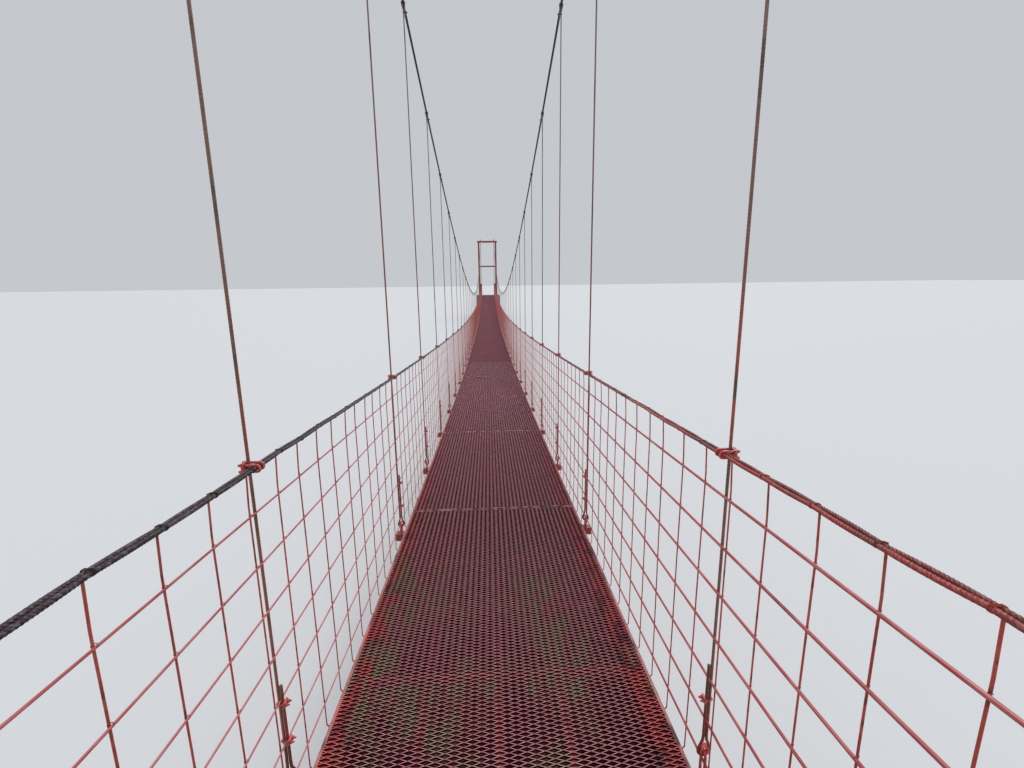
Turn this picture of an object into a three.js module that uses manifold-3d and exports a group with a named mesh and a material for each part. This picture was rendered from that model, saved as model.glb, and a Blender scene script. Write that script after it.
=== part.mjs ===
import * as THREE from "three";
import { mergeVertices } from "three/addons/utils/BufferGeometryUtils.js";
import Module from "manifold-3d";

const wasm = await Module();
wasm.setup();

// Rope suspension footbridge of 50 m, modelled at half its real size.
// X runs along the bridge from the near tower to the far one, Y points left and Z up.
// The origin is at mid-span, on the lowest ground that the concrete reaches.
// Every length is the real one in millimetres, times the scale of the model.
const modelScale = 1 / 2;
const real = (millimetres) => millimetres * modelScale;
const fitGap = 0.3; // between two pieces that touch

// Line of the bridge
const span = real(50000); // from tangent point to tangent point of the main cables
const endBay = real(1900); // hanger spacing beside a tower
const endBayCount = 2;
const innerBayCount = 30;
const deckEndHeight = real(2000); // walking surface at the towers
const deckSag = real(960);
const cableRise = real(5270); // main cable above the deck at the towers
const cableSag = real(4440);

// Deck
const deckHalfWidth = real(610); // sheets 1.22 m wide
const deckThickness = real(12);
const sheetLength = real(2440);
const firstSheetLength = real(1900); // cut sheet at the near end
const shortestSheet = real(600); // a shorter rest is part of the sheet before it
const sheetsPerPanel = 3;
const deckOverrun = real(220); // deck past each tangent point, onto the abutment
const deckLevelLength = real(160); // level deck in front of each tangent point
const edgeBarDepth = real(60);
const edgeBarWidth = real(10);
const floorBeamWidth = real(50);
const floorBeamDepth = real(50);
const floorBeamReach = real(675);
const endBeamReach = real(606);
const frameSectionCount = 4;

// Sides
const hangerOffset = real(642); // from the bridge's centre line
const hangerWidth = real(9.2);
const railHeight = real(1070);
const railOffset = real(623);
const railRopeRadius = real(4.8);
const railRopeSpacing = real(9.6);
const wireOffset = real(636); // on the inner side of the hangers
const wireRadius = real(3.6);
const wireSides = 3;
const wireLowest = real(60); // lowest side wire above the deck
const wireSpacing = real(147.5);
const wireCount = 7;
const sidePanelCount = 3;

// Main cables and backstays
const cableRadius = real(10);
const cableSides = 8;
const riggingSides = 6;
const saddleRadius = real(200); // to the cable's centre line
const saddleArcStep = Math.PI / 24;
const saddleLevelRun = real(4); // level stretch on each side of the saddle's top
const backstayAngle = (44 * Math.PI) / 180;
const anchorRodRadius = real(18);
const anchorRodLength = real(420);
const turnbuckleLength = real(620);
const turnbuckleWidth = real(110);
const turnbuckleThickness = real(36);
const turnbuckleBar = real(28);
const screwLength = real(240);
const socketLength = real(180);
const socketRadius = real(34);
const socketMouthRadius = real(22);

// Towers
const legOffset = real(815);
const legWidth = real(150);
const basePlateWidth = real(280);
const basePlateThickness = real(20);
const topBeamWidth = real(180);
const topBeamDepth = real(160);
const topBeamOverhang = real(60);
const middleBeamHeight = real(2700); // its underside above the deck
const middleBeamDepth = real(120);
const saddleCheekWidth = real(22);
const saddleCheekRise = real(10); // above the cable's centre line
const saddleFootHalfLength = real(88);
const saddleHeight = real(120); // from the beam to the bottom of the cable
const saddleArcMargin = Math.PI / 36;
const endPlateInside = real(600); // wires and handrail end on this plate
const endPlateThickness = real(20);
const endPlateRise = real(60);

// Concrete
const abutmentFront = real(220); // in front of the tower's centre line
const abutmentBack = real(1500);
const abutmentHalfWidth = real(1150);
const approachGap = real(10); // between the deck's end and the approach
const anchorExitHeight = real(680); // where the rod leaves the sloped face
const anchorLength = real(1700);
const anchorWidth = real(820);
const anchorHeight = real(1000);
const anchorFrontHeight = real(360);

// Worked-out places
const halfSpan = span / 2;
const innerBay = (span - 2 * endBayCount * endBay) / innerBayCount;
const spanAngle = Math.atan((4 * cableSag) / span);
const towerX = halfSpan + saddleRadius * Math.sin(spanAngle);
const cableTop = deckEndHeight + cableRise;
const saddleCentreZ = cableTop - saddleRadius * Math.cos(spanAngle);
const grooveRadius = saddleRadius - cableRadius - fitGap;
const topBeamTop = saddleCentreZ + grooveRadius - saddleHeight;
const frameTopDrop = deckThickness + fitGap;
const shelfHeight = deckEndHeight - frameTopDrop - edgeBarDepth - fitGap;
const deckEnd = halfSpan + deckOverrun;
const deckLevelX = halfSpan - deckLevelLength;
const endPlateFace = towerX - legWidth / 2 - endPlateThickness;

const hangerStations = [];
for (let i = 1; i <= endBayCount; i += 1) hangerStations.push(-halfSpan + i * endBay);
for (let i = 1; i < innerBayCount; i += 1) {
  hangerStations.push(-halfSpan + endBayCount * endBay + i * innerBay);
}
for (let i = endBayCount; i >= 1; i -= 1) hangerStations.push(halfSpan - i * endBay);
const deckStations = [-deckLevelX, ...hangerStations, deckLevelX];

const sides = { left: 1, right: -1 };
const ends = { near: -1, far: 1 };

const paintedSteel = new THREE.MeshStandardMaterial({ color: 0x8f2a2a, roughness: 0.6, metalness: 0.3 });
const deckSteel = new THREE.MeshStandardMaterial({ color: 0x7a2530, roughness: 0.7, metalness: 0.3 });
const sideWire = new THREE.MeshStandardMaterial({ color: 0xb4504e, roughness: 0.55, metalness: 0.3 });
const railRope = new THREE.MeshStandardMaterial({ color: 0x6b5560, roughness: 0.6, metalness: 0.5 });
const darkCable = new THREE.MeshStandardMaterial({ color: 0x2b2728, roughness: 0.65, metalness: 0.5 });
const concrete = new THREE.MeshStandardMaterial({ color: 0x8d8b83, roughness: 0.95, metalness: 0 });

const bridge = new THREE.Group();

function addPiece(name, geometry, material) {
  const mesh = new THREE.Mesh(geometry, material);
  mesh.name = name;
  bridge.add(mesh);
}

// Closed solid of a three.js geometry, for joining
function solidOf(geometry) {
  const bare = geometry.clone();
  bare.deleteAttribute("normal");
  bare.deleteAttribute("uv");
  const merged = mergeVertices(bare, 1e-3);
  const vertProperties = new Float32Array(merged.attributes.position.array);
  const triVerts = new Uint32Array(merged.index.array);
  return new wasm.Manifold(new wasm.Mesh({ numProp: 3, vertProperties, triVerts }));
}

function joined(geometries) {
  const whole = geometries.map(solidOf).reduce((sum, solid) => sum.add(solid));
  const mesh = whole.getMesh();
  const geometry = new THREE.BufferGeometry();
  geometry.setAttribute("position", new THREE.BufferAttribute(mesh.vertProperties, 3));
  geometry.setIndex(new THREE.BufferAttribute(mesh.triVerts, 1));
  geometry.computeVertexNormals();
  return geometry;
}

// Box between two opposite corners, in any order
function block(corner, opposite) {
  const size = corner.map((value, axis) => Math.abs(opposite[axis] - value));
  const middle = corner.map((value, axis) => (value + opposite[axis]) / 2);
  return new THREE.BoxGeometry(...size).translate(...middle);
}

// Route in an XZ plane, sampled at exactly its own points, with Y as the first axis of its section
class PointRoute extends THREE.Curve {
  constructor(points) {
    super();
    this.points = points;
  }
  getPoint(t) {
    const place = t * (this.points.length - 1);
    const index = Math.min(Math.floor(place), this.points.length - 2);
    return this.points[index].clone().lerp(this.points[index + 1], place - index);
  }
  getPointAt(t) {
    return this.getPoint(t);
  }
  computeFrenetFrames(segments) {
    const across = new THREE.Vector3(0, 1, 0);
    const tangents = Array.from({ length: segments + 1 }, (_, i) => this.getTangent(i / segments));
    const normals = tangents.map(() => across);
    const binormals = tangents.map((tangent) => tangent.clone().cross(across));
    return { tangents, normals, binormals };
  }
}

// Section of (left, up) points, carried along a route that keeps one Y
function swept(section, points) {
  const outline = new THREE.Shape(section.map(([left, up]) => new THREE.Vector2(left, up)));
  const extrudePath = new PointRoute(points);
  const steps = points.length - 1;
  return new THREE.ExtrudeGeometry(outline, { steps, bevelEnabled: false, extrudePath });
}

function roundSection(radius, sideCount) {
  return Array.from({ length: sideCount }, (_, i) => {
    const angle = (2 * Math.PI * (i + 0.5)) / sideCount;
    return [radius * Math.cos(angle), radius * Math.sin(angle)];
  });
}

// Profile of (x, z) points, extruded across the bridge between two Y values
function extrudedAcross(profile, lowY, highY) {
  const outline = new THREE.Shape(profile.map(([x, z]) => new THREE.Vector2(x, z)));
  const geometry = new THREE.ExtrudeGeometry(outline, { depth: highY - lowY, bevelEnabled: false });
  return geometry.rotateX(Math.PI / 2).translate(0, highY, 0);
}

// Walking surface: straight between hangers and level at the towers
function deckHeight(x) {
  if (Math.abs(x) >= deckLevelX) return deckEndHeight;
  const curve = (place) => deckEndHeight - deckSag * (1 - (place / deckLevelX) ** 2);
  const after = deckStations.findIndex((station) => station > x);
  const low = deckStations[after - 1];
  const high = deckStations[after];
  return THREE.MathUtils.mapLinear(x, low, high, curve(low), curve(high));
}

function cableHeight(x) {
  return cableTop - cableSag * (1 - (x / halfSpan) ** 2);
}

// Points that follow the deck at a fixed height, from one X to a higher one
function deckRoute(fromX, toX, left, above) {
  const inside = deckStations.filter((station) => station > fromX + 1 && station < toX - 1);
  return [fromX, ...inside, toX].map((x) => new THREE.Vector3(x, left, deckHeight(x) + above));
}

// Abutments: concrete down to the lowest ground, with a shelf under the deck's end
function addAbutment(endName, end) {
  const approach = end * (deckEnd + approachGap);
  const back = end * (towerX + abutmentBack);
  const front = end * (towerX - abutmentFront);
  const profile = [
    [front, 0],
    [back, 0],
    [back, deckEndHeight],
    [approach, deckEndHeight],
    [approach, shelfHeight],
    [front, shelfHeight],
  ];
  const geometry = extrudedAcross(profile, -abutmentHalfWidth, abutmentHalfWidth);
  addPiece(`${endName}_abutment`, geometry, concrete);
}

// Square leg on a base plate, with the plate that the side's wires end on
function addLeg(endName, end, sideName, side) {
  const x = end * towerX;
  const y = side * legOffset;
  const bottom = shelfHeight + fitGap;
  const top = topBeamTop - topBeamDepth - fitGap;
  const halfPlate = basePlateWidth / 2;
  const halfLeg = legWidth / 2;
  const overlap = real(2);
  const pieces = [
    block(
      [x - halfPlate, y - halfPlate, bottom],
      [x + halfPlate, y + halfPlate, bottom + basePlateThickness],
    ),
    block([x - halfLeg, y - halfLeg, bottom], [x + halfLeg, y + halfLeg, top]),
    block(
      [end * endPlateFace, side * endPlateInside, deckEndHeight + wireLowest - endPlateRise / 2],
      [x - end * (halfLeg - overlap), y, deckEndHeight + railHeight + endPlateRise],
    ),
  ];
  addPiece(`${endName}_${sideName}_leg`, joined(pieces), paintedSteel);
}

function addTowerBeams(endName, end) {
  const x = end * towerX;
  const topReach = legOffset + legWidth / 2 + topBeamOverhang;
  const topBeam = block(
    [x - topBeamWidth / 2, -topReach, topBeamTop - topBeamDepth],
    [x + topBeamWidth / 2, topReach, topBeamTop],
  );
  addPiece(`${endName}_top_beam`, topBeam, paintedSteel);
  const middleReach = legOffset - legWidth / 2 - fitGap;
  const middleBottom = deckEndHeight + middleBeamHeight;
  const middleBeam = block(
    [x - legWidth / 2, -middleReach, middleBottom],
    [x + legWidth / 2, middleReach, middleBottom + middleBeamDepth],
  );
  addPiece(`${endName}_middle_beam`, middleBeam, paintedSteel);
}

// Points of the saddle's arc, from a lean towards the span to one away from it
function saddleArc(end, radius, fromAngle, toAngle) {
  const count = Math.ceil(Math.abs(toAngle - fromAngle) / saddleArcStep);
  return Array.from({ length: count + 1 }, (_, i) => {
    const angle = fromAngle + ((toAngle - fromAngle) * i) / count;
    return [end * (towerX + radius * Math.sin(angle)), saddleCentreZ + radius * Math.cos(angle)];
  });
}

// Saddle: a curved block with a cheek on each side of the cable
function addSaddle(endName, end, sideName, side) {
  const foot = topBeamTop + fitGap;
  const profile = (radius) => [
    ...saddleArc(end, radius, -spanAngle - saddleArcMargin, backstayAngle + saddleArcMargin),
    [end * (towerX + saddleFootHalfLength), foot],
    [end * (towerX - saddleFootHalfLength), foot],
  ];
  const grooveHalf = cableRadius + fitGap;
  const outside = grooveHalf + saddleCheekWidth;
  const y = side * hangerOffset;
  const cheek = profile(saddleRadius + saddleCheekRise);
  const pieces = [
    extrudedAcross(profile(grooveRadius), y - outside, y + outside),
    extrudedAcross(cheek, y - outside, y - grooveHalf),
    extrudedAcross(cheek, y + grooveHalf, y + outside),
  ];
  addPiece(`${endName}_${sideName}_saddle`, joined(pieces), paintedSteel);
}

// Rope over a saddle: level at the top, then round the arc to its last angle
function overSaddle(end, lastAngle) {
  const lean = Math.sign(lastAngle);
  const top = saddleCentreZ + saddleRadius;
  const level = [fitGap / 2, saddleLevelRun].map((run) => [end * (towerX + lean * run), top]);
  return [...level, ...saddleArc(end, saddleRadius, lean * saddleArcStep, lastAngle)];
}

// Main cable between the tops of the two saddles
function addMainCable(sideName, side) {
  const hung = hangerStations.map((x) => [x, cableHeight(x)]);
  const nearArc = overSaddle(ends.near, -spanAngle);
  const farArc = overSaddle(ends.far, -spanAngle).reverse();
  const points = [...nearArc, ...hung, ...farArc].map(
    ([x, z]) => new THREE.Vector3(x, side * hangerOffset, z),
  );
  addPiece(`${sideName}_main_cable`, swept(roundSection(cableRadius, cableSides), points), darkCable);
}

// Where the backstay leaves the saddle, and where its rod enters the concrete
const leaving = [
  towerX + saddleRadius * Math.sin(backstayAngle),
  saddleCentreZ + saddleRadius * Math.cos(backstayAngle),
];
const entry = [leaving[0] + (leaving[1] - anchorExitHeight) / Math.tan(backstayAngle), anchorExitHeight];

// Rod, turnbuckle, screw and socket, in line from the concrete up to the cable
function riggingPieces() {
  const round = (radiusFrom, radiusTo, from, length) =>
    new THREE.CylinderGeometry(radiusTo, radiusFrom, length, riggingSides)
      .rotateZ(-Math.PI / 2)
      .translate(from + length / 2, 0, 0);
  const half = turnbuckleWidth / 2;
  const thick = turnbuckleThickness / 2;
  const bodyStart = anchorRodLength - turnbuckleBar;
  const bodyEnd = bodyStart + turnbuckleLength;
  const screwStart = bodyEnd - turnbuckleBar;
  const socketStart = screwStart + screwLength;
  return [
    round(anchorRodRadius, anchorRodRadius, fitGap, anchorRodLength),
    block([bodyStart, -half, -thick], [bodyStart + turnbuckleBar, half, thick]),
    block([screwStart, -half, -thick], [bodyEnd, half, thick]),
    block([bodyStart, -half, -thick], [bodyEnd, turnbuckleBar - half, thick]),
    block([bodyStart, half - turnbuckleBar, -thick], [bodyEnd, half, thick]),
    round(anchorRodRadius, anchorRodRadius, screwStart, screwLength),
    round(socketRadius, socketMouthRadius, socketStart - fitGap, socketLength),
  ];
}

// Backstay from the top of the saddle, with its rigging down to the anchor block
function addBackstay(endName, end, sideName, side) {
  const riggingLength = anchorRodLength + turnbuckleLength + screwLength + socketLength - 3 * turnbuckleBar;
  const cableEnd = [
    end * (entry[0] - riggingLength * Math.cos(backstayAngle)),
    entry[1] + riggingLength * Math.sin(backstayAngle),
  ];
  const points = [...overSaddle(end, backstayAngle), cableEnd].map(
    ([x, z]) => new THREE.Vector3(x, side * hangerOffset, z),
  );
  const lean = end === ends.near ? -backstayAngle : backstayAngle - Math.PI;
  const rigging = riggingPieces().map((piece) =>
    piece.rotateY(lean).translate(end * entry[0], side * hangerOffset, entry[1]),
  );
  const rope = swept(roundSection(cableRadius, cableSides), points);
  addPiece(`${endName}_${sideName}_backstay`, joined([rope, ...rigging]), darkCable);
}

// Anchor block, with a face square to the backstay
function addAnchor(endName, end, sideName, side) {
  const slope = (z) => entry[0] + (z - entry[1]) * Math.tan(backstayAngle);
  const front = slope(anchorFrontHeight);
  const profile = [
    [end * front, 0],
    [end * (front + anchorLength), 0],
    [end * (front + anchorLength), anchorHeight],
    [end * slope(anchorHeight), anchorHeight],
    [end * front, anchorFrontHeight],
  ];
  const y = side * hangerOffset;
  const geometry = extrudedAcross(profile, y - anchorWidth / 2, y + anchorWidth / 2);
  addPiece(`${endName}_${sideName}_anchor`, geometry, concrete);
}

// Handrail: two ropes lying side by side, from end plate to end plate
function addHandrail(sideName, side) {
  const lobe = (centre, turn) =>
    [-105, -35, 35, 105].map((degrees) => {
      const angle = THREE.MathUtils.degToRad(degrees + turn);
      return [centre + railRopeRadius * Math.cos(angle), railRopeRadius * Math.sin(angle)];
    });
  const waist = railRopeRadius / 4;
  const section = [
    ...lobe(railRopeSpacing / 2, 0),
    [0, waist],
    ...lobe(-railRopeSpacing / 2, 180),
    [0, -waist],
  ];
  const endX = endPlateFace - fitGap;
  const points = deckRoute(-endX, endX, side * railOffset, railHeight);
  addPiece(`${sideName}_handrail`, swept(section, points), railRope);
}

// Side panel: hangers, with the seven side wires that they carry
function addSidePanel(sideName, side, index) {
  const hangersPerPanel = hangerStations.length / sidePanelCount;
  const first = index * hangersPerPanel;
  const own = hangerStations.slice(first, first + hangersPerPanel);
  const next = hangerStations[first + hangersPerPanel];
  const fromX = index === 0 ? -endPlateFace + fitGap : own[0];
  const toX = next === undefined ? endPlateFace - fitGap : next - hangerWidth / 2 - fitGap;
  const half = hangerWidth / 2;
  const y = side * hangerOffset;
  const hangers = own.map((x) => {
    const slope = Math.atan((2 * cableSag * Math.abs(x)) / halfSpan ** 2);
    const underCable = cableRadius / Math.cos(slope) + half * Math.tan(slope);
    const bottom = deckHeight(x) - frameTopDrop - edgeBarDepth + floorBeamDepth + fitGap;
    const top = cableHeight(x) - underCable;
    return block([x - half, y - half, bottom], [x + half, y + half, top]);
  });
  const wires = Array.from({ length: wireCount }, (_, i) => {
    const above = wireLowest + i * wireSpacing;
    return swept(roundSection(wireRadius, wireSides), deckRoute(fromX, toX, side * wireOffset, above));
  });
  addPiece(`${sideName}_side_${index + 1}`, joined([...hangers, ...wires]), sideWire);
}

// Deck frame section: two edge bars and the floor beams that the hangers carry
function addFrameSection(index, fromX, toX) {
  const inner = deckHalfWidth - edgeBarWidth;
  const barSection = (side) =>
    [
      [inner, 0],
      [deckHalfWidth, 0],
      [deckHalfWidth, -edgeBarDepth],
      [inner, -edgeBarDepth],
    ].map(([left, up]) => [side * left, up]);
  const route = deckRoute(fromX, toX, 0, -frameTopDrop);
  const beam = (x, reach) => {
    const [back, front] = [x - floorBeamWidth / 2, x + floorBeamWidth / 2];
    const bottom = deckHeight(x) - frameTopDrop - edgeBarDepth;
    return block([back, -reach, bottom], [front, reach, bottom + floorBeamDepth]);
  };
  const within = (x) => x > fromX && x < toX;
  const bars = Object.values(sides).map((side) => swept(barSection(side), route));
  const beams = hangerStations.filter(within).map((x) => beam(x, floorBeamReach));
  const endBeams = [-halfSpan, halfSpan].filter(within).map((x) => beam(x, endBeamReach));
  addPiece(`deck_frame_${index + 1}`, joined([...bars, ...beams, ...endBeams]), paintedSteel);
}

function addDeckFrame() {
  const perSection = hangerStations.length / frameSectionCount;
  const joints = Array.from({ length: frameSectionCount - 1 }, (_, i) => {
    const before = Math.round((i + 1) * perSection) - 1;
    return (hangerStations[before] + hangerStations[before + 1]) / 2;
  });
  const limits = [-deckEnd, ...joints, deckEnd];
  for (let i = 0; i < frameSectionCount; i += 1) {
    addFrameSection(i, limits[i] + fitGap / 2, limits[i + 1] - fitGap / 2);
  }
}

// Deck panels: the walking sheets, three to a panel
function addDeckPanels() {
  const seams = [-deckEnd, -deckEnd + firstSheetLength];
  while (seams.at(-1) + sheetLength < deckEnd - shortestSheet) seams.push(seams.at(-1) + sheetLength);
  const limits = seams.filter((_, i) => i % sheetsPerPanel === 0).concat(deckEnd);
  const section = [
    [-deckHalfWidth, -deckThickness],
    [deckHalfWidth, -deckThickness],
    [deckHalfWidth, 0],
    [-deckHalfWidth, 0],
  ];
  for (let i = 0; i + 1 < limits.length; i += 1) {
    const route = deckRoute(limits[i] + fitGap / 2, limits[i + 1] - fitGap / 2, 0, 0);
    addPiece(`deck_panel_${i + 1}`, swept(section, route), deckSteel);
  }
}

for (const [endName, end] of Object.entries(ends)) {
  addAbutment(endName, end);
  addTowerBeams(endName, end);
  for (const [sideName, side] of Object.entries(sides)) {
    addLeg(endName, end, sideName, side);
    addSaddle(endName, end, sideName, side);
    addBackstay(endName, end, sideName, side);
    addAnchor(endName, end, sideName, side);
  }
}
for (const [sideName, side] of Object.entries(sides)) {
  addMainCable(sideName, side);
  addHandrail(sideName, side);
  for (let i = 0; i < sidePanelCount; i += 1) addSidePanel(sideName, side, i);
}
addDeckFrame();
addDeckPanels();

export default bridge;
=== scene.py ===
import math
import random

import bmesh
import bpy
import numpy as np
from mathutils import Matrix, Vector, noise


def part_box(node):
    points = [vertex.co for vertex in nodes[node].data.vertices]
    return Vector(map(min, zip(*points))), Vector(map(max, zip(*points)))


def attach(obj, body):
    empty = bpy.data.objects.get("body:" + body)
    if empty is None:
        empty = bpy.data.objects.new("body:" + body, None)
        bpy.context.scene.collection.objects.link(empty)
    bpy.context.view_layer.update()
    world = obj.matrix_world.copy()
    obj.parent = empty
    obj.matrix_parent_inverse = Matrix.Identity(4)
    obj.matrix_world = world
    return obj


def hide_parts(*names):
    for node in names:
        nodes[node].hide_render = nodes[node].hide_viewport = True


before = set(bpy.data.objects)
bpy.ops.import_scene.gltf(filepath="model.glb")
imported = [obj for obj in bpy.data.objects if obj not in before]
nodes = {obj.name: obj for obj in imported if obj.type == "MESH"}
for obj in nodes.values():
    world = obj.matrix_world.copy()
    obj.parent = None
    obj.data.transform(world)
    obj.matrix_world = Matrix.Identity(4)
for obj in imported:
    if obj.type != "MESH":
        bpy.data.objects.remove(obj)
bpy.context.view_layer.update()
sides = {"left": 1, "right": -1}
ends = {"near": -1, "far": 1}
inPlace = Matrix.Identity(4)
aboutX = Matrix.Rotation(math.pi / 2, 4, "X")
aboutY = Matrix.Rotation(math.pi / 2, 4, "Y")
sharpAngle = math.radians(40)
mergeDistance = 1e-6

# Line of the bridge, in metres at half its real size
bridge = {
    "halfSpan": 12.5,
    "endBay": 0.95,
    "endBayCount": 2,
    "innerBayCount": 30,
    "levelLength": 0.08,  # level deck in front of each tangent point
    "deckSag": 0.48,
    "cableRise": 2.635,  # above the deck at the towers
    "cableSag": 2.22,
    "deckHalfWidth": 0.305,
    "railHeight": 0.535,
    "hangerOffset": 0.321,
    "wireLowest": 0.03,
    "wireSpacing": 0.07375,
    "wireCount": 7,
}
halfSpan, deckHalf, railHeight = (bridge[key] for key in ("halfSpan", "deckHalfWidth", "railHeight"))
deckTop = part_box("near_abutment")[1].z
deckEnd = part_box("deck_panel_7")[1].x
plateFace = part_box("left_handrail")[1].x  # wires and rails end on the plates here
wireHeights = [bridge["wireLowest"] + k * bridge["wireSpacing"] for k in range(bridge["wireCount"])]


def hangerPlaces():
    inner = 2 * (halfSpan - bridge["endBayCount"] * bridge["endBay"]) / bridge["innerBayCount"]
    places = [-halfSpan + bridge["endBay"] * (i + 1) for i in range(bridge["endBayCount"])]
    places += [places[-1] + inner * (i + 1) for i in range(bridge["innerBayCount"])]
    places += [places[-1] + bridge["endBay"] * (i + 1) for i in range(bridge["endBayCount"] - 1)]
    return places


hangers = hangerPlaces()
bayEnds = [-halfSpan, *hangers, halfSpan]
levelX = halfSpan - bridge["levelLength"]
deckStations = np.array([-levelX, *hangers, levelX])
deckHeights = deckTop - bridge["deckSag"] * (1 - (deckStations / levelX) ** 2)


def deckHeight(x):
    return np.interp(x, deckStations, deckHeights)


def railLine(x):
    return deckHeight(x) + railHeight


def cableHeight(x):
    return deckTop + bridge["cableRise"] - bridge["cableSag"] * (1 - (x / halfSpan) ** 2)


def stationsBetween(fromX, toX):
    return [fromX, *[x for x in deckStations if fromX < x < toX], toX]


# Making and placing meshes


def meshOf(bm):
    mesh = bpy.data.meshes.new("part")
    bm.to_mesh(mesh)
    bm.free()
    return mesh


def newObject(name, data):
    obj = bpy.data.objects.new(name, data)
    bpy.context.scene.collection.objects.link(obj)
    return obj


def addPiece(name, mesh, material, replaced=()):
    obj = newObject(name, mesh)
    mesh.name = name
    mesh.materials.clear()
    mesh.materials.append(material)
    mesh.shade_smooth()
    mesh.set_sharp_from_angle(angle=sharpAngle)
    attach(obj, "root")
    if replaced:
        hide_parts(*replaced)
    print("made", name, sum(len(p.vertices) - 2 for p in mesh.polygons), "triangles")


def at(x, y, z):
    return Matrix.Translation((x, y, z))


# Moves the mesh itself
def placed(mesh, matrix):
    mesh.transform(matrix)
    return mesh


# One mesh of copies, each a mesh where it is or a pair of a mesh and its matrix
def joined(parts):
    whole = bmesh.new()
    for part in parts:
        mesh, matrix = part if isinstance(part, tuple) else (part, inPlace)
        copy = placed(mesh.copy(), matrix)
        whole.from_mesh(copy)
        bpy.data.meshes.remove(copy)
    return meshOf(whole)


def evaluated(obj):
    graph = bpy.context.evaluated_depsgraph_get()
    mesh = bpy.data.meshes.new_from_object(obj.evaluated_get(graph))
    bpy.data.objects.remove(obj)
    return mesh


def repeated(mesh, count, step, weld=0.0):
    holder = newObject("repeat", mesh)
    array = holder.modifiers.new("Array", "ARRAY")
    array.count = count
    array.use_relative_offset = False
    array.use_constant_offset = True
    array.constant_offset_displace = step
    array.use_merge_vertices = weld > 0
    array.merge_threshold = max(weld, mergeDistance)
    return evaluated(holder)


def closed(mesh):
    bm = bmesh.new()
    bm.from_mesh(mesh)
    bmesh.ops.remove_doubles(bm, verts=bm.verts, dist=mergeDistance)
    openEdges = [e for e in bm.edges if e.is_boundary]
    if openEdges:
        bmesh.ops.holes_fill(bm, edges=openEdges, sides=0)
    bmesh.ops.recalc_face_normals(bm, faces=bm.faces)
    bm.to_mesh(mesh)
    bm.free()
    return mesh


# Open bar with the outline's section, bent where each move ends
def sweptBar(outline, moves, depths=None):
    bm = bmesh.new()
    depthLayer = bm.verts.layers.float.new("depth")
    verts = [bm.verts.new(point) for point in outline]
    for vert, depth in zip(verts, depths or [0.0] * len(verts)):
        vert[depthLayer] = depth
    ring = [bm.edges.new((verts[i - 1], verts[i])) for i in range(len(verts))]
    for move in moves:
        made = bmesh.ops.extrude_edge_only(bm, edges=ring)["geom"]
        moved = {g for g in made if isinstance(g, bmesh.types.BMVert)}
        ring = [g for g in made if isinstance(g, bmesh.types.BMEdge) and moved.issuperset(g.verts)]
        bmesh.ops.translate(bm, vec=move, verts=list(moved))
    return meshOf(bm)


# Sides of round bars and of lathed solids, steps of bends; in pairs for pieces made fine or not
roundness = {
    "bar": {True: 8, False: 4},
    "bow": {True: 10, False: 4},
    "seizing": {True: 4, False: 2},
    "thimble": {True: 24, False: 12},
    "hangerFoot": {True: 10, False: 6},
    "hangerTop": 6,
    "hanger": 8,
    "rail": 10,
    "sideWire": 8,
    "thinWire": 4,
    "cable": 12,
    "saddleBend": 4,
    "backstayBend": 6,
    "thread": 12,
    "shank": 16,
    "socket": 20,
    "bolt": 12,
    "washer": 16,
    "wireStub": 8,
    "weld": 6,
}


# Round bar along each route; with a lay, U of its UV map counts the turns of the strands
def barMesh(routes, radius, sideCount, layLength=None, loop=False):
    parts = []
    for points in routes:
        curve = bpy.data.curves.new("route", "CURVE")
        curve.dimensions = "3D"
        curve.bevel_depth = radius
        curve.bevel_resolution = max(0, sideCount // 2 - 2)
        curve.use_fill_caps = not loop
        spline = curve.splines.new("POLY")
        spline.points.add(len(points) - 1)
        spline.points.foreach_set("co", [value for p in points for value in (*p, 1.0)])
        spline.use_cyclic_u = loop
        mesh = evaluated(newObject("route", curve))
        bpy.data.curves.remove(curve)
        if layLength:
            steps = [(Vector(b) - Vector(a)).length for a, b in zip(points, points[1:])]
            turns = np.concatenate(([0.0], np.cumsum(steps))) / layLength
            layer = mesh.uv_layers[0]
            uv = np.empty(len(layer.data) * 2, np.float32)
            layer.data.foreach_get("uv", uv)
            uv[0::2] = np.interp(uv[0::2] * (len(points) - 1), range(len(points)), turns)
            layer.data.foreach_set("uv", uv)
        parts.append(mesh)
    return closed(joined(parts))


# Equal steps from start over span, with both ends
def arc(start, span, steps):
    return [start + span * i / steps for i in range(steps + 1)]


def spun(bm, geom, steps, rise=0.0, merge=False):
    turn = {"cent": (0, 0, 0), "axis": (0, 0, 1), "dvec": (0, 0, rise), "angle": 2 * math.pi}
    bmesh.ops.spin(bm, geom=geom, steps=steps, use_merge=merge, use_duplicate=False, **turn)


strands = {"count": 6, "pointsEach": 3, "stepsPerLay": 10, "weld": 2e-6}


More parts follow.
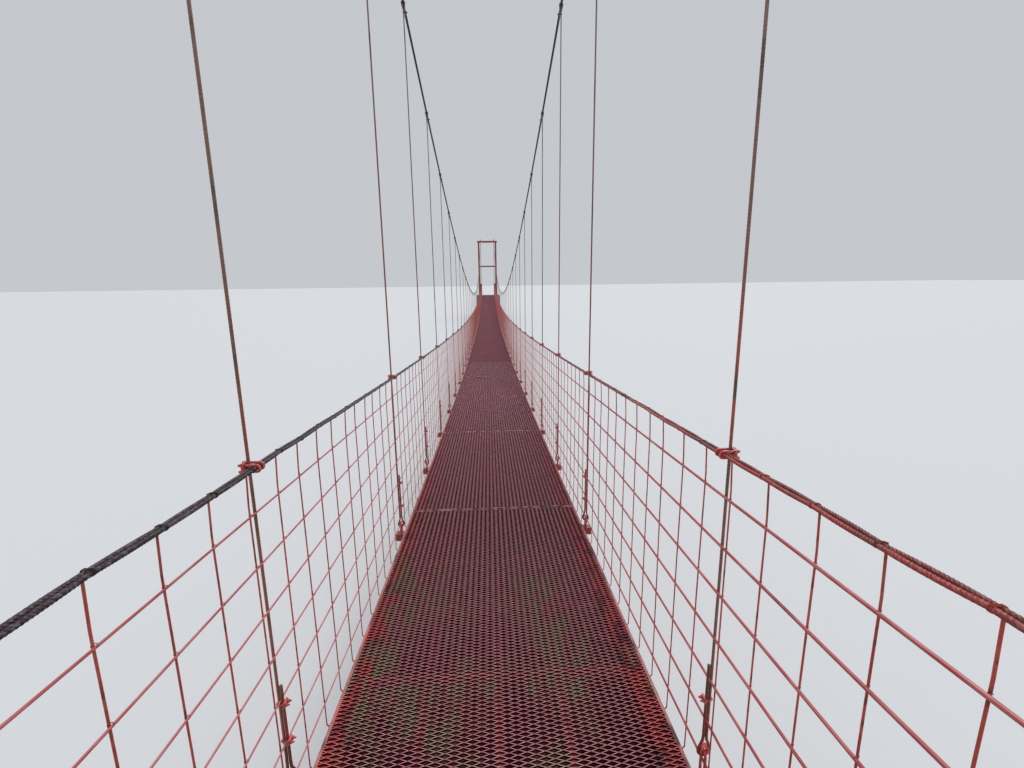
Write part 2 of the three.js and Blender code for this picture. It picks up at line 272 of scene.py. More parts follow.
# Straight rope along Z from strands laid round each other
def laidRope(radius, length, layLength):
    bm = bmesh.new()
    grooveLayer = bm.verts.layers.float.new("groove")
    pointCount = strands["count"] * strands["pointsEach"]
    bmesh.ops.create_circle(bm, cap_ends=False, radius=1, segments=pointCount)
    halfLobe = math.pi / strands["count"]
    strand = radius * math.sin(halfLobe) / (1 + math.sin(halfLobe))
    centre = radius - strand
    valley = centre * math.cos(halfLobe)
    for vert in bm.verts:
        around = math.atan2(vert.co.y, vert.co.x) % (2 * halfLobe) - halfLobe
        reach = centre * math.cos(around) + math.sqrt(max(0, strand**2 - (centre * math.sin(around)) ** 2))
        vert.co *= reach
        vert[grooveLayer] = (radius - reach) / (radius - valley)
    lays = max(1, round(length / layLength))
    lay = length / lays
    spun(bm, bm.verts[:] + bm.edges[:], strands["stepsPerLay"], lay / strands["stepsPerLay"])
    return closed(repeated(meshOf(bm), lays, (0, 0, lay), strands["weld"]))


# Solid of revolution round Z from (radius, z) points: a ring, or closed on the axis
def lathed(profile, steps):
    bm = bmesh.new()
    verts = [bm.verts.new((r, 0, z)) for r, z in profile]
    edges = [bm.edges.new((a, b)) for a, b in zip(verts, verts[1:])]
    if profile[0][0] > 0:
        edges.append(bm.edges.new((verts[-1], verts[0])))
    spun(bm, verts + edges, steps, merge=True)
    bmesh.ops.remove_doubles(bm, verts=bm.verts, dist=mergeDistance)
    bmesh.ops.recalc_face_normals(bm, faces=bm.faces)
    return meshOf(bm)


def cylinder(radius, low, high, steps):
    return lathed([(0, low), (radius, low), (radius, high), (0, high)], steps)


def bevelEdges(bm, edges, width, segments):
    shape = {"affect": "EDGES", "profile": 0.5, "material": -1}
    bmesh.ops.bevel(bm, geom=edges, offset=width, segments=segments, **shape)


def boxMesh(size, centre=(0, 0, 0), bevel=0.0):
    bm = bmesh.new()
    bmesh.ops.create_cube(bm, size=1)
    bmesh.ops.scale(bm, vec=size, verts=bm.verts)
    bmesh.ops.translate(bm, vec=centre, verts=bm.verts)
    if bevel:
        bevelEdges(bm, bm.edges, bevel, 2)
    return meshOf(bm)


nutBevel = 0.12  # of the nut's radius


def nutMesh(radius, height, bevelled=True):
    bm = bmesh.new()
    bmesh.ops.create_cone(bm, cap_ends=True, segments=6, radius1=radius, radius2=radius, depth=height)
    if bevelled:
        rims = [e for e in bm.edges if abs(e.verts[0].co.z - e.verts[1].co.z) < mergeDistance]
        bevelEdges(bm, rims, radius * nutBevel, 1)
    return meshOf(bm)


def coordinates(mesh):
    co = np.empty(len(mesh.vertices) * 3, np.float32)
    mesh.vertices.foreach_get("co", co)
    return co, co[0::3].astype(float)


# Moves a mesh's points by what functions of their x give
def shifted(mesh, across=None, up=None):
    co, x = coordinates(mesh)
    for axis, change in ((1, across), (2, up)):
        if change:
            co[axis::3] += change(x)
    mesh.vertices.foreach_set("co", co)
    mesh.update()
    return mesh


# Gives the points one value or a value each, for a material to read
def tagged(mesh, name, values):
    spread = np.broadcast_to(np.float32(values), len(mesh.vertices)).copy()
    mesh.attributes.new(name, "FLOAT", "POINT").data.foreach_set("value", spread)
    return mesh


# Place beside the deck with Y turned outward
def sideMatrix(side, x, y, z):
    turn = inPlace if side > 0 else Matrix.Rotation(math.pi, 4, "Z")
    return at(x, side * y, z) @ turn


# Materials


def setInputs(tree, node, inputs):
    for key, value in inputs.items():
        if isinstance(value, bpy.types.NodeSocket):
            tree.links.new(value, node.inputs[key])
        else:
            node.inputs[key].default_value = value


def addNode(tree, kind, inputs=None, **settings):
    node = tree.nodes.new("ShaderNode" + kind)
    for key, value in settings.items():
        setattr(node, key, value)
    setInputs(tree, node, inputs or {})
    return node


def addGroup(name, inputs, outputs):
    group = bpy.data.node_groups.new(name, "ShaderNodeTree")
    for label, value in inputs.items():
        kind = "NodeSocketFloat" if isinstance(value, float) else "NodeSocketVector"
        group.interface.new_socket(label, in_out="INPUT", socket_type=kind).default_value = value
    for label in outputs:
        group.interface.new_socket(label, in_out="OUTPUT", socket_type="NodeSocketFloat")
    return group, group.nodes.new("NodeGroupInput").outputs, group.nodes.new("NodeGroupOutput")


def useGroup(tree, group, inputs=None):
    return addNode(tree, "Group", inputs, node_tree=group).outputs


def mixed(tree, factor, first, second):
    return addNode(tree, "Mix", {0: factor, 6: first, 7: second}, data_type="RGBA").outputs[2]


def maths(tree, operation, first, second=0.0, clamp=False):
    return addNode(tree, "Math", {0: first, 1: second}, operation=operation, use_clamp=clamp).outputs[0]


def times(tree, first, second, clamp=False):
    return maths(tree, "MULTIPLY", first, second, clamp)


# Puts a tint over the colour where the mask shows, a share of it at most
def tinted(tree, color, tint, mask, share):
    return mixed(tree, times(tree, mask, share), color, tint)


def ranged(tree, value, fromLow, fromHigh, toLow=0.0, toHigh=1.0, soft=False):
    kind = "SMOOTHSTEP" if soft else "LINEAR"
    inputs = {0: value, 1: fromLow, 2: fromHigh, 3: toLow, 4: toHigh}
    return addNode(tree, "MapRange", inputs, interpolation_type=kind).outputs[0]


# Runs up to a half and back within each period
def wave(tree, value, period):
    return maths(tree, "PINGPONG", maths(tree, "DIVIDE", value, period), 0.5)


def attribute(tree, name):
    return addNode(tree, "Attribute", attribute_name=name).outputs["Fac"]


def objectPlace(tree):
    return addNode(tree, "TexCoord").outputs["Object"]


def axes(tree, vector):
    return addNode(tree, "SeparateXYZ", {0: vector}).outputs


def facingUp(tree, normal="Normal"):
    return axes(tree, addNode(tree, "NewGeometry").outputs[normal])["Z"]


def cloudNoise(tree, place, scale, detail):
    return addNode(tree, "TexNoise", {"Vector": place, "Scale": scale, "Detail": detail}).outputs[0]


effect = {
    "patchDetail": 6.0,
    "wearGain": 9.0,
    "wearDetail": 4.0,
    "wearSamples": 4,
    "dustLying": (0.1, 0.95, 0.25, 1.0),  # least and most facing up, amounts there
    "dustCloud": (0.35, 0.7),
    "dustDetail": 7.0,
    "wireHeight": 0.25,  # of a strand's
}


# Soft-edged patches, fewer with a higher threshold
def makePatches():
    inputs = {"Scale": 10.0, "Stretch": (1, 1, 1), "Threshold": 0.55, "Softness": 0.08}
    group, start, end = addGroup("patches", inputs, ["Mask", "Noise"])
    scaled = addNode(group, "VectorMath", {0: objectPlace(group), 1: start["Stretch"]}, operation="MULTIPLY")
    cloud = cloudNoise(group, scaled.outputs[0], start["Scale"], effect["patchDetail"])
    low, high = (maths(group, kind, start["Threshold"], start["Softness"]) for kind in ("SUBTRACT", "ADD"))
    setInputs(group, end, {"Mask": ranged(group, cloud, low, high, soft=True), "Noise": cloud})
    return group


# Worn edges, broken up by a fine noise
def makeEdgeWear():
    group, start, end = addGroup("edgeWear", {"Radius": 0.004, "Amount": 1.0, "Break Up": 60.0}, ["Mask"])
    rounded = addNode(group, "Bevel", {"Radius": start["Radius"]}, samples=effect["wearSamples"]).outputs[0]
    flat = addNode(group, "NewGeometry").outputs["Normal"]
    dot = addNode(group, "VectorMath", {0: rounded, 1: flat}, operation="DOT_PRODUCT").outputs["Value"]
    edge = times(group, maths(group, "SUBTRACT", 1.0, dot), effect["wearGain"])
    cloud = cloudNoise(group, objectPlace(group), start["Break Up"], effect["wearDetail"])
    setInputs(group, end, {"Mask": times(group, edge, times(group, cloud, start["Amount"]), clamp=True)})
    return group


# Dust and grime, thickest on faces that look up
def makeDust():
    group, start, end = addGroup("dust", {"Amount": 0.5, "Scale": 14.0}, ["Mask"])
    lying = ranged(group, facingUp(group), *effect["dustLying"])
    cloud = cloudNoise(group, objectPlace(group), start["Scale"], effect["dustDetail"])
    thick = times(group, lying, ranged(group, cloud, *effect["dustCloud"]))
    setInputs(group, end, {"Mask": times(group, thick, start["Amount"], clamp=True)})
    return group


# Strands of a rope on its UV map: U in turns of the lay, V round the rope
def makeRopeLay():
    group, start, end = addGroup("ropeLay", {"Strands": 6.0, "Wires": 4.0}, ["Groove", "Height"])
    uv = axes(group, addNode(group, "TexCoord").outputs["UV"])
    phase = times(group, maths(group, "ADD", uv["X"], uv["Y"]), start["Strands"])
    lobe = times(group, maths(group, "PINGPONG", phase, 0.5), 2.0)
    raised = maths(group, "POWER", lobe, 0.5)
    wirePhase = maths(group, "ADD", times(group, phase, start["Wires"]), uv["X"])
    wire = times(group, maths(group, "PINGPONG", wirePhase, 0.5), effect["wireHeight"])
    groove = maths(group, "SUBTRACT", 1.0, raised, clamp=True)
    setInputs(group, end, {"Groove": groove, "Height": maths(group, "ADD", raised, wire)})
    return group


# Strands of an expanded sheet: X along the deck, Y across it
def makeDiamonds():
    group, start, end = addGroup("diamonds", {"Along": 0.011, "Across": 0.0305, "Width": 0.3}, ["Strand"])
    place = axes(group, objectPlace(group))
    along, across = wave(group, place["X"], start["Along"]), wave(group, place["Y"], start["Across"])
    diamond = times(group, maths(group, "ADD", along, across), 2.0)
    fromStrand = maths(group, "ABSOLUTE", maths(group, "SUBTRACT", diamond, 1.0))
    half = times(group, start["Width"], 0.5)
    setInputs(group, end, {"Strand": ranged(group, fromStrand, half, start["Width"], 1.0, 0.0)})
    return group


patches = makePatches()
edgeWear = makeEdgeWear()
dust = makeDust()
ropeLay = makeRopeLay()
diamonds = makeDiamonds()


def patched(tree, inputs):
    return useGroup(tree, patches, inputs)


def newMaterial(name):
    material = bpy.data.materials.new(name)
    material.use_nodes = True
    tree = material.node_tree
    return material, tree, tree.nodes["Principled BSDF"]


finishInputs = {"metallic": "Metallic", "roughness": "Roughness", "specular": "Specular IOR Level"}


# Sets the shader's colour and what the look says of its finish
def finished(tree, shader, color, look):
    finish = {socket: look[key] for key, socket in finishInputs.items() if key in look}
    setInputs(tree, shader, {"Base Color": color, **finish})


def bumped(tree, shader, height, distance):
    bump = addNode(tree, "Bump", {"Height": height, "Distance": distance})
    setInputs(tree, shader, {"Normal": bump.outputs[0]})


# Painted steel: paint that varies, worn edges, rust in patches and dust on top
def paintedSteel(name, look):
    material, tree, shader = newMaterial(name)
    tone = patched(tree, {"Scale": look["toneScale"], **look["toneLimit"]})
    fine = patched(tree, {"Scale": look["toneScale"] * look["fineTimes"], **look["fineLimit"]})
    rustInputs = {"Scale": look["rustScale"], "Stretch": look["streak"], "Threshold": look["rustThreshold"]}
    rust = patched(tree, {**rustInputs, "Softness": look["rustSoftness"]})
    worn = useGroup(tree, edgeWear, {"Radius": look["edge"], "Amount": look["wear"]})["Mask"]
    dirty = useGroup(tree, dust, {"Amount": look["dust"]})["Mask"]
    color = mixed(tree, tone["Mask"], look["paint"], look["paintDeep"])
    color = tinted(tree, color, look["paintFaded"], fine["Mask"], look["fadedShare"])
    for mask, tint in ((rust["Mask"], "rust"), (worn, "bare"), (dirty, "dirt")):
        color = mixed(tree, mask, color, look[tint])
    dull = maths(tree, "MAXIMUM", rust["Mask"], dirty)
    roughness = ranged(tree, dull, 0.0, 1.0, look["roughness"], look["dullRoughness"])
    finished(tree, shader, color, {**look, "roughness": roughness})
    bumped(tree, shader, maths(tree, "ADD", rust["Noise"], fine["Noise"]), look["bump"])
    return material


steelLook = {
    "paint": (0.34, 0.042, 0.036, 1),
    "paintDeep": (0.24, 0.03, 0.03, 1),
    "paintFaded": (0.40, 0.10, 0.085, 1),
    "rust": (0.15, 0.05, 0.022, 1),
    "bare": (0.32, 0.18, 0.14, 1),
    "dirt": (0.10, 0.075, 0.06, 1),
    "toneScale": 3.0,
    "toneLimit": {"Threshold": 0.5, "Softness": 0.2},
    "fineTimes": 9,  # finer than the tone
    "fineLimit": {"Threshold": 0.52, "Softness": 0.12},
    "fadedShare": 0.35,
    "rustScale": 9.0,
    "rustThreshold": 0.62,
    "rustSoftness": 0.05,
    "streak": (1.0, 1.0, 0.25),
    "edge": 0.004,
    "wear": 1.0,
    "dust": 0.45,
    "roughness": 0.48,
    "dullRoughness": 0.9,
    "metallic": 0.0,
    "bump": 0.0008,
}
rimLook = {
    **steelLook,
    "paint": (0.58, 0.11, 0.10, 1),
    "paintDeep": (0.26, 0.05, 0.06, 1),
    "paintFaded": (0.66, 0.30, 0.27, 1),
    "rust": (0.10, 0.045, 0.05, 1),
    "toneScale": 11.0,
    "rustScale": 26.0,
    "rustThreshold": 0.56,
    "streak": (0.4, 1.0, 1.0),
    "wear": 0.4,
    "dust": 0.25,
    "roughness": 0.42,
    "bump": 0.0006,
}
endLook = {
    **rimLook,
    "paint": (0.78, 0.40, 0.38, 1),
    "paintDeep": (0.50, 0.16, 0.16, 1),
    "rust": (0.09, 0.03, 0.035, 1),
    "rustScale": 34.0,
    "rustThreshold": 0.49,
    "streak": (1.0, 1.0, 1.0),
}
# Painted light: paint of the bars under the sheets, brighter than the rim's so they show through the
# strands' shade
underLitLook = {
    **rimLook,
    "paint": (0.80, 0.11, 0.14, 1),
    "paintDeep": (0.66, 0.07, 0.10, 1),
    "rust": (0.40, 0.07, 0.07, 1),
    "dust": 0.1,
}
wireLook = {
    **steelLook,
    "paint": (0.47, 0.065, 0.068, 1),
    "paintDeep": (0.36, 0.034, 0.04, 1),
    "paintFaded": (0.60, 0.24, 0.22, 1),
    "rust": (0.22, 0.06, 0.05, 1),
    "toneScale": 2.5,
    "rustScale": 16.0,
    "rustThreshold": 0.66,
    "streak": (0.3, 1.0, 1.0),
    "edge": 0.0004,
    "wear": 0.0,
    "dust": 0.1,
    "roughness": 0.42,
    "bump": 0.0002,
}
rodLook = {
    **wireLook,
    "paint": (0.62, 0.08, 0.058, 1),
    "paintDeep": (0.44, 0.055, 0.044, 1),
    "paintFaded": (0.66, 0.20, 0.14, 1),
    "rust": (0.22, 0.06, 0.038, 1),
    "toneScale": 5.0,
    "rustScale": 110.0,
    "rustThreshold": 0.58,
    "streak": (1.0, 1.0, 0.6),
    "roughness": 0.5,
}
clipLook = {
    **steelLook,
    "paint": (0.64, 0.075, 0.07, 1),
    "paintDeep": (0.50, 0.04, 0.05, 1),
    "paintFaded": (0.70, 0.30, 0.29, 1),
    "toneScale": 25.0,
    "rustScale": 60.0,
    "rustThreshold": 0.66,
    "streak": (1.0, 1.0, 1.0),
    "edge": 0.0008,
    "wear": 0.5,
    "dust": 0.2,
    "roughness": 0.35,
    "bump": 0.0003,
}
hardwareLook = {
    **clipLook,
    "paint": (0.13, 0.12, 0.115, 1),
    "paintDeep": (0.08, 0.075, 0.075, 1),
    "paintFaded": (0.24, 0.23, 0.22, 1),
    "rust": (0.14, 0.055, 0.03, 1),
    "rustThreshold": 0.56,
    "bare": (0.34, 0.33, 0.32, 1),
    "roughness": 0.5,
    "metallic": 0.6,
}
steelPaint = paintedSteel("steelPaint", steelLook)
rimPaint = paintedSteel("rimPaint", rimLook)
endPaint = paintedSteel("endPaint", endLook)
underLitPaint = paintedSteel("underLitPaint", underLitLook)
wirePaint = paintedSteel("wirePaint", wireLook)
rodPaint = paintedSteel("rodPaint", rodLook)
clipPaint = paintedSteel("clipPaint", clipLook)
hardwareSteel = paintedSteel("hardwareSteel", hardwareLook)


# Wire rope: grooves between strands come from the mesh where it is laid, from the UV map elsewhere, and are
# darkened there as painted shade
def wireRope(name, look, laid):
    material, tree, shader = newMaterial(name)
    lay = None if laid else useGroup(tree, ropeLay)
    groove = attribute(tree, "groove") if laid else lay["Groove"]
    tone = patched(tree, {"Scale": look["toneScale"], "Threshold": look["wornThreshold"]})
    fleck = patched(tree, look["fleckPatches"])
    if "heights" in look:
        above = maths(tree, "DIVIDE", attribute(tree, "aboveDeck"), look["rampTop"])
        ramp = addNode(tree, "ValToRGB", {0: above})
        stops = ramp.color_ramp.elements
        stops.remove(stops[1])
        stops[0].color = look["heights"][0][1]
        for height, tint in look["heights"][1:]:
            stops.new(height / look["rampTop"]).color = tint
        color = mixed(tree, attribute(tree, "redness"), ramp.outputs[0], look["redTint"])
    else:
        color = look["coat"]
    # Painted sheen: the rope's coat turns paler away from the near end
    if "farSheenCoat" in look:
        farther = ranged(tree, axes(tree, objectPlace(tree))["X"], *look["coatChange"])
        color = mixed(tree, farther, color, look["farSheenCoat"])
        color = mixed(tree, attribute(tree, "outerRope"), color, look["outerCoat"])
    color = mixed(tree, tone["Mask"], color, look["worn"])
    color = tinted(tree, color, look["fleck"], fleck["Mask"], look["fleckAmount"])
    # Painted shade in the grooves between strands
    color = tinted(tree, color, look["grooveShade"], groove, look["grooveShadeShare"])
    finished(tree, shader, color, look)
    relief = (fleck["Noise"], look["fleckBump"]) if laid else (lay["Height"], look["layBump"])
    bumped(tree, shader, *relief)
    return material


ropeLook = {
    "fleckPatches": {"Scale": 260.0, "Threshold": 0.56, "Softness": 0.06},
    "grooveShadeShare": 0.85,
    "fleckBump": 0.0003,
    "layBump": 0.0012,
    "specular": 0.5,
}
leftRailLook = {
    **ropeLook,
    "coat": (0.028, 0.014, 0.017, 1),
    "farSheenCoat": (0.16, 0.12, 0.15, 1),
    "outerCoat": (0.048, 0.028, 0.033, 1),
    "coatChange": (-11.50, -10.9),  # where the near coat turns into the paler far one, a painted sheen
    "worn": (0.080, 0.054, 0.062, 1),
    "grooveShade": (0.012, 0.006, 0.008, 1),
    "fleck": (0.32, 0.27, 0.30, 1),
    "fleckAmount": 0.3,
    "toneScale": 9.0,
    "wornThreshold": 0.57,
    "metallic": 0.0,
    "roughness": 0.55,
    "specular": 0.3,
}
rightRailLook = {
    **leftRailLook,
    "coat": (0.40, 0.055, 0.045, 1),
    "farSheenCoat": (0.42, 0.13, 0.12, 1),
    "outerCoat": (0.22, 0.055, 0.045, 1),
    "worn": (0.15, 0.055, 0.05, 1),
    "grooveShade": (0.035, 0.010, 0.010, 1),
    "fleck": (0.55, 0.24, 0.20, 1),
    "fleckAmount": 0.35,
    "wornThreshold": 0.58,
}
hangerLook = {
    **ropeLook,
    "worn": (0.15, 0.085, 0.055, 1),
    "grooveShade": (0.03, 0.015, 0.010, 1),
    "fleck": (0.42, 0.27, 0.20, 1),
    "fleckAmount": 0.35,
    "toneScale": 12.0,
    "wornThreshold": 0.6,
    "metallic": 0.1,
    "roughness": 0.5,
    "redTint": (0.72, 0.088, 0.064, 1),
    "rampTop": 2.0,
    "heights": [
        (0.0, (0.52, 0.08, 0.055, 1)),
        (0.09, (0.46, 0.09, 0.055, 1)),
        (0.17, (0.32, 0.17, 0.10, 1)),
        (0.50, (0.26, 0.14, 0.085, 1)),
        (0.56, (0.25, 0.09, 0.06, 1)),
        (0.90, (0.29, 0.16, 0.115, 1)),
        (1.6, (0.40, 0.30, 0.265, 1)),
    ],
}
cableLook = {
    **ropeLook,
    "coat": (0.035, 0.032, 0.036, 1),
    "worn": (0.075, 0.06, 0.055, 1),
    "grooveShade": (0.01, 0.01, 0.01, 1),
    "fleck": (0.12, 0.11, 0.115, 1),
    "fleckAmount": 0.3,
    "toneScale": 3.0,
    "wornThreshold": 0.6,
    "metallic": 0.4,
    "roughness": 0.55,
}
railLooks = {"left": leftRailLook, "right": rightRailLook}
laidRail = {name: wireRope(name + "RailLaid", look, True) for name, look in railLooks.items()}
plainRail = {name: wireRope(name + "RailPlain", look, False) for name, look in railLooks.items()}
laidHanger = wireRope("hangerLaid", hangerLook, True)
plainHanger = wireRope("hangerPlain", hangerLook, False)
plainCable = wireRope("cablePlain", cableLook, False)


# Expanded sheets of the deck, for their paint and for their shape
sheet = {
    "firstLength": 0.95,
    "length": 1.22,
    "shortest": 0.3,
    "openCount": 6,  # sheets with their own strands, the panels beyond are patterned
    "perPanel": 3,
    "flatBonds": (1,),  # sheets whose strands have flats where they bond
    "fourSided": (1, 2),  # sheets with four-sided strands, the others have three
    "seamGap": 0.010,
    "along": 0.0101,  # diamond's short way
    "across": 0.0305,  # diamond's long way
    "patternWidth": 0.42,  # of a strand in the pattern
    "knuckle": 0.0028,  # length of the bond between two strands
    "bondSpacing": 0.0005,  # between their middles there
    "strandTop": 0.0014,
    "strandFoot": 0.0010,
    "strandDepth": 0.0042,
    "topDrop": 0.0002,
    "weld": 1e-5,
}
diamondSize = {"Along": sheet["along"], "Across": sheet["across"], "Width": sheet["patternWidth"]}


# Deck paint, on the near sheets' own strands or as a pattern on the plain far panels; the strands' sides and
# feet and the panels' openings are painted shade
def deckPaint(name, look, pattern):
    material, tree, shader = newMaterial(name)
    place = axes(tree, objectPlace(tree))
    names = ("broad", "fine", "mossArea", "mossStreak", "edgeSoil")
    broad, fine, mossArea, mossStreak, soiled = (patched(tree, look[key]) for key in names)
    color = mixed(tree, broad["Mask"], look["paint"], look["paintMauve"])
    color = tinted(tree, color, look["paintPale"], fine["Mask"], look["paleShare"])
    edge = ranged(tree, maths(tree, "ABSOLUTE", place["Y"]), *look["edgeFrom"], soft=True)
    color = mixed(tree, edge, color, mixed(tree, soiled["Mask"], look["edgePaint"], look["edgeDirt"]))
    # Painted sheen: towards the far end the near sheets turn paler and pinker; the panels, all beyond that,
    # take their own paint from the same key
    away = ranged(tree, place["X"], look["nearX"], look["farX"])
    color = mixed(tree, away, color, look["farPaintAndSheen"])
    mossy = times(tree, mossArea["Mask"], mossStreak["Mask"])
    mossy = times(tree, mossy, ranged(tree, away, *look["mossThins"]))
    color = tinted(tree, color, look["moss"], mossy, look["mossAmount"])
    # Painted shade: dark stripes down the knuckle columns, in the colour of the strands' shaded sides,
    # stronger towards the far end
    column = maths(tree, "PINGPONG", maths(tree, "DIVIDE", place["Y"], sheet["across"]), 0.25)
    striped = ranged(tree, away, *look["stripesGrow"])
    color = tinted(tree, color, look["shadedFlank"], ranged(tree, column, *look["stripe"]), striped)
    # On the plain panels the openings are painted dark, as painted shade seen through the holes
    if pattern:
        strand = useGroup(tree, diamonds, diamondSize)["Strand"]
        color = mixed(tree, strand, look["openingShade"], color)
        bumped(tree, shader, strand, look["strandBump"])
    else:
        # Painted shade: the strands' sides are darker than their tops and darker still towards their feet;
        # only faces that look up keep the paint
        shadedFlank = mixed(tree, attribute(tree, "depth"), look["shadedFlank"], look["openingShade"])
        color = mixed(tree, ranged(tree, facingUp(tree, "True Normal"), *look["topFaces"]), shadedFlank, color)
        bumped(tree, shader, fine["Noise"], look["grainBump"])
    finished(tree, shader, color, look)
    return material


mossLook = {
    "mossArea": {"Scale": 4.6, "Stretch": (0.8, 1.2, 1), "Threshold": 0.525, "Softness": 0.05},
    "mossStreak": {"Scale": 40.0, "Stretch": (0.35, 1, 1), "Threshold": 0.50, "Softness": 0.07},
}
# Where a value is a group of two or four, it says from where to where something changes and how much
deckLook = {
    **mossLook,
    "broad": {"Scale": 1.6, "Stretch": (0.7, 1.6, 1), "Threshold": 0.5, "Softness": 0.16},
    "fine": {"Scale": 75.0, "Threshold": 0.5, "Softness": 0.2},
    "edgeSoil": {"Scale": 24.0, "Stretch": (0.6, 1, 1), "Threshold": 0.56, "Softness": 0.05},
    "paint": (0.45, 0.125, 0.14, 1),
    "paintMauve": (0.355, 0.14, 0.17, 1),
    "paintPale": (0.60, 0.38, 0.38, 1),
    "paleShare": 0.45,
    "edgePaint": (0.70, 0.13, 0.125, 1),
    "edgeDirt": (0.11, 0.05, 0.065, 1),
    "edgeFrom": (0.24, 0.27),
    "nearX": -11.3,
    "farX": -8.3,
    # Painted sheen on the near sheets; on the far panels their own paint
    "farPaintAndSheen": (1.0, 0.45, 0.55, 1),
    "moss": (0.36, 0.28, 0.19, 1),
    "mossAmount": 0.95,
    "mossThins": (0.1, 0.35, 1.0, 0.2),
    # Painted shade: where the stripes sit across a diamond, and how they grow towards the far end
    "stripe": (0.05, 0.20, 1.0, 0.0),
    "stripesGrow": (0.0, 0.25, 0.4, 1.0),
    # Painted shade: colours of the strands' sides and of the openings below them
    "shadedFlank": (0.10, 0.007, 0.014, 1),
    "openingShade": (0.055, 0.006, 0.012, 1),
    "topFaces": (0.3, 0.8),
    "strandBump": 0.002,
    "grainBump": 0.0005,
    "roughness": 0.5,
    "specular": 0.2,
}
sheetPaint = deckPaint("sheetPaint", deckLook, False)
panelLook = {**deckLook, "farPaintAndSheen": (0.30, 0.085, 0.12, 1), "roughness": 0.6, "specular": 0.05}
panelPaint = deckPaint("panelPaint", panelLook, True)


# Dirt and moss that hang in the openings, dark elsewhere as painted shade under the deck, with the strands
# showing from below
def caughtDirtAndShade(look):
    material, tree, shader = newMaterial("caughtDirtAndShade")
    area, streak, fine = (patched(tree, look[key]) for key in ("mossArea", "mossStreak", "fine"))
    brown = mixed(tree, fine["Mask"], look["brown"], look["green"])
    grown = times(tree, area["Mask"], ranged(tree, streak["Noise"], *look["grown"]))
    color = mixed(tree, grown, look["filmShade"], brown)
    strand = useGroup(tree, diamonds, diamondSize)["Strand"]
    underside = ranged(tree, facingUp(tree), *look["underside"])
    color = tinted(tree, color, look["strandPaint"], strand, underside)
    finished(tree, shader, color, look)
    bumped(tree, shader, fine["Noise"], look["bump"])
    return material


dirtAndShadeLook = {
    **mossLook,
    "fine": {"Scale": 130.0, "Threshold": 0.5, "Softness": 0.1},
    "grown": (0.35, 0.55),
    "underside": (-0.5, 0.0, 1.0, 0.0),
    # Painted shade: the film's colour where no moss or dirt has grown
    "filmShade": (0.050, 0.007, 0.013, 1),
    "brown": (0.16, 0.085, 0.055, 1),
    "green": (0.13, 0.125, 0.06, 1),
    "strandPaint": (0.30, 0.045, 0.055, 1),
    "roughness": 0.8,
    "specular": 0.1,
    "bump": 0.001,
}
dirtAndShadeFilm = caughtDirtAndShade(dirtAndShadeLook)


# Cast concrete with board marks, stains and pores
def concreteFinish(look):
    material, tree, shader = newMaterial("castConcrete")
    height = axes(tree, objectPlace(tree))["Z"]
    names = ("clouds", "grain", "pores", "streaks")
    cloud, fine, pores, streak = (patched(tree, look[key]) for key in names)
    joint = ranged(tree, wave(tree, height, look["boardWidth"]), 0.0, look["jointWidth"], 1.0, 0.0)
    damp = times(tree, ranged(tree, height, 0.0, look["dampHeight"], 1.0, 0.0), cloud["Noise"])
    color = mixed(tree, cloud["Mask"], look["pale"], look["grey"])
    color = tinted(tree, color, look["sand"], fine["Mask"], look["sandShare"])
    color = tinted(tree, color, look["jointColor"], joint, look["jointShare"])
    color = tinted(tree, color, look["stain"], streak["Mask"], look["stainShare"])
    color = mixed(tree, damp, color, look["damp"])
    color = mixed(tree, pores["Mask"], color, look["jointColor"])
    finished(tree, shader, color, look)
    relief = maths(tree, "SUBTRACT", times(tree, fine["Noise"], look["grainRelief"]), joint)
    relief = maths(tree, "SUBTRACT", relief, times(tree, pores["Mask"], look["poreRelief"]))
    bumped(tree, shader, relief, look["bump"])
    return material


concreteLook = {
    "clouds": {"Scale": 2.2, "Threshold": 0.5, "Softness": 0.2},
    "grain": {"Scale": 60.0, "Threshold": 0.5, "Softness": 0.2},
    "pores": {"Scale": 160.0, "Threshold": 0.68, "Softness": 0.03},
    "streaks": {"Scale": 9.0, "Stretch": (1, 1, 0.12), "Threshold": 0.57},
    "pale": (0.36, 0.345, 0.31, 1),
    "grey": (0.25, 0.245, 0.225, 1),
    "sand": (0.42, 0.39, 0.33, 1),
    "sandShare": 0.25,
    "stain": (0.14, 0.12, 0.09, 1),
    "stainShare": 0.55,
    "damp": (0.12, 0.125, 0.09, 1),
    "dampHeight": 0.35,
    "jointColor": (0.11, 0.105, 0.09, 1),
    "jointShare": 0.5,
    "jointWidth": 0.03,  # of a board's width
    "boardWidth": 0.075,
    "roughness": 0.9,
    "grainRelief": 0.5,
    "poreRelief": 0.6,
    "bump": 0.003,
}
castConcrete = concreteFinish(concreteLook)
print("materials ready")


# Bevels, by how a node's name ends
edgeWidths = {"abutment": 0.006, "anchor": 0.006, "leg": 0.003, "beam": 0.003, "saddle": 0.0015}
nodeWeld = 1e-5


# Nodes of the model that keep their own shape
def dressNodes():
    for name, obj in nodes.items():
        if "abutment" in name or "anchor" in name:
            material = castConcrete
        else:
            material = panelPaint if "deck_panel" in name else steelPaint
        obj.data.materials.clear()
        obj.data.materials.append(material)
        width = next((w for key, w in edgeWidths.items() if name.endswith(key)), None)
        if width:
            obj.modifiers.new("Weld", "WELD").merge_threshold = nodeWeld
            bevel = obj.modifiers.new("Bevel", "BEVEL")
            bevel.width = width
            bevel.segments = 2
            bevel.limit_method = "ANGLE"
            bevel.angle_limit = sharpAngle


dressNodes()
print("model's own nodes dressed")


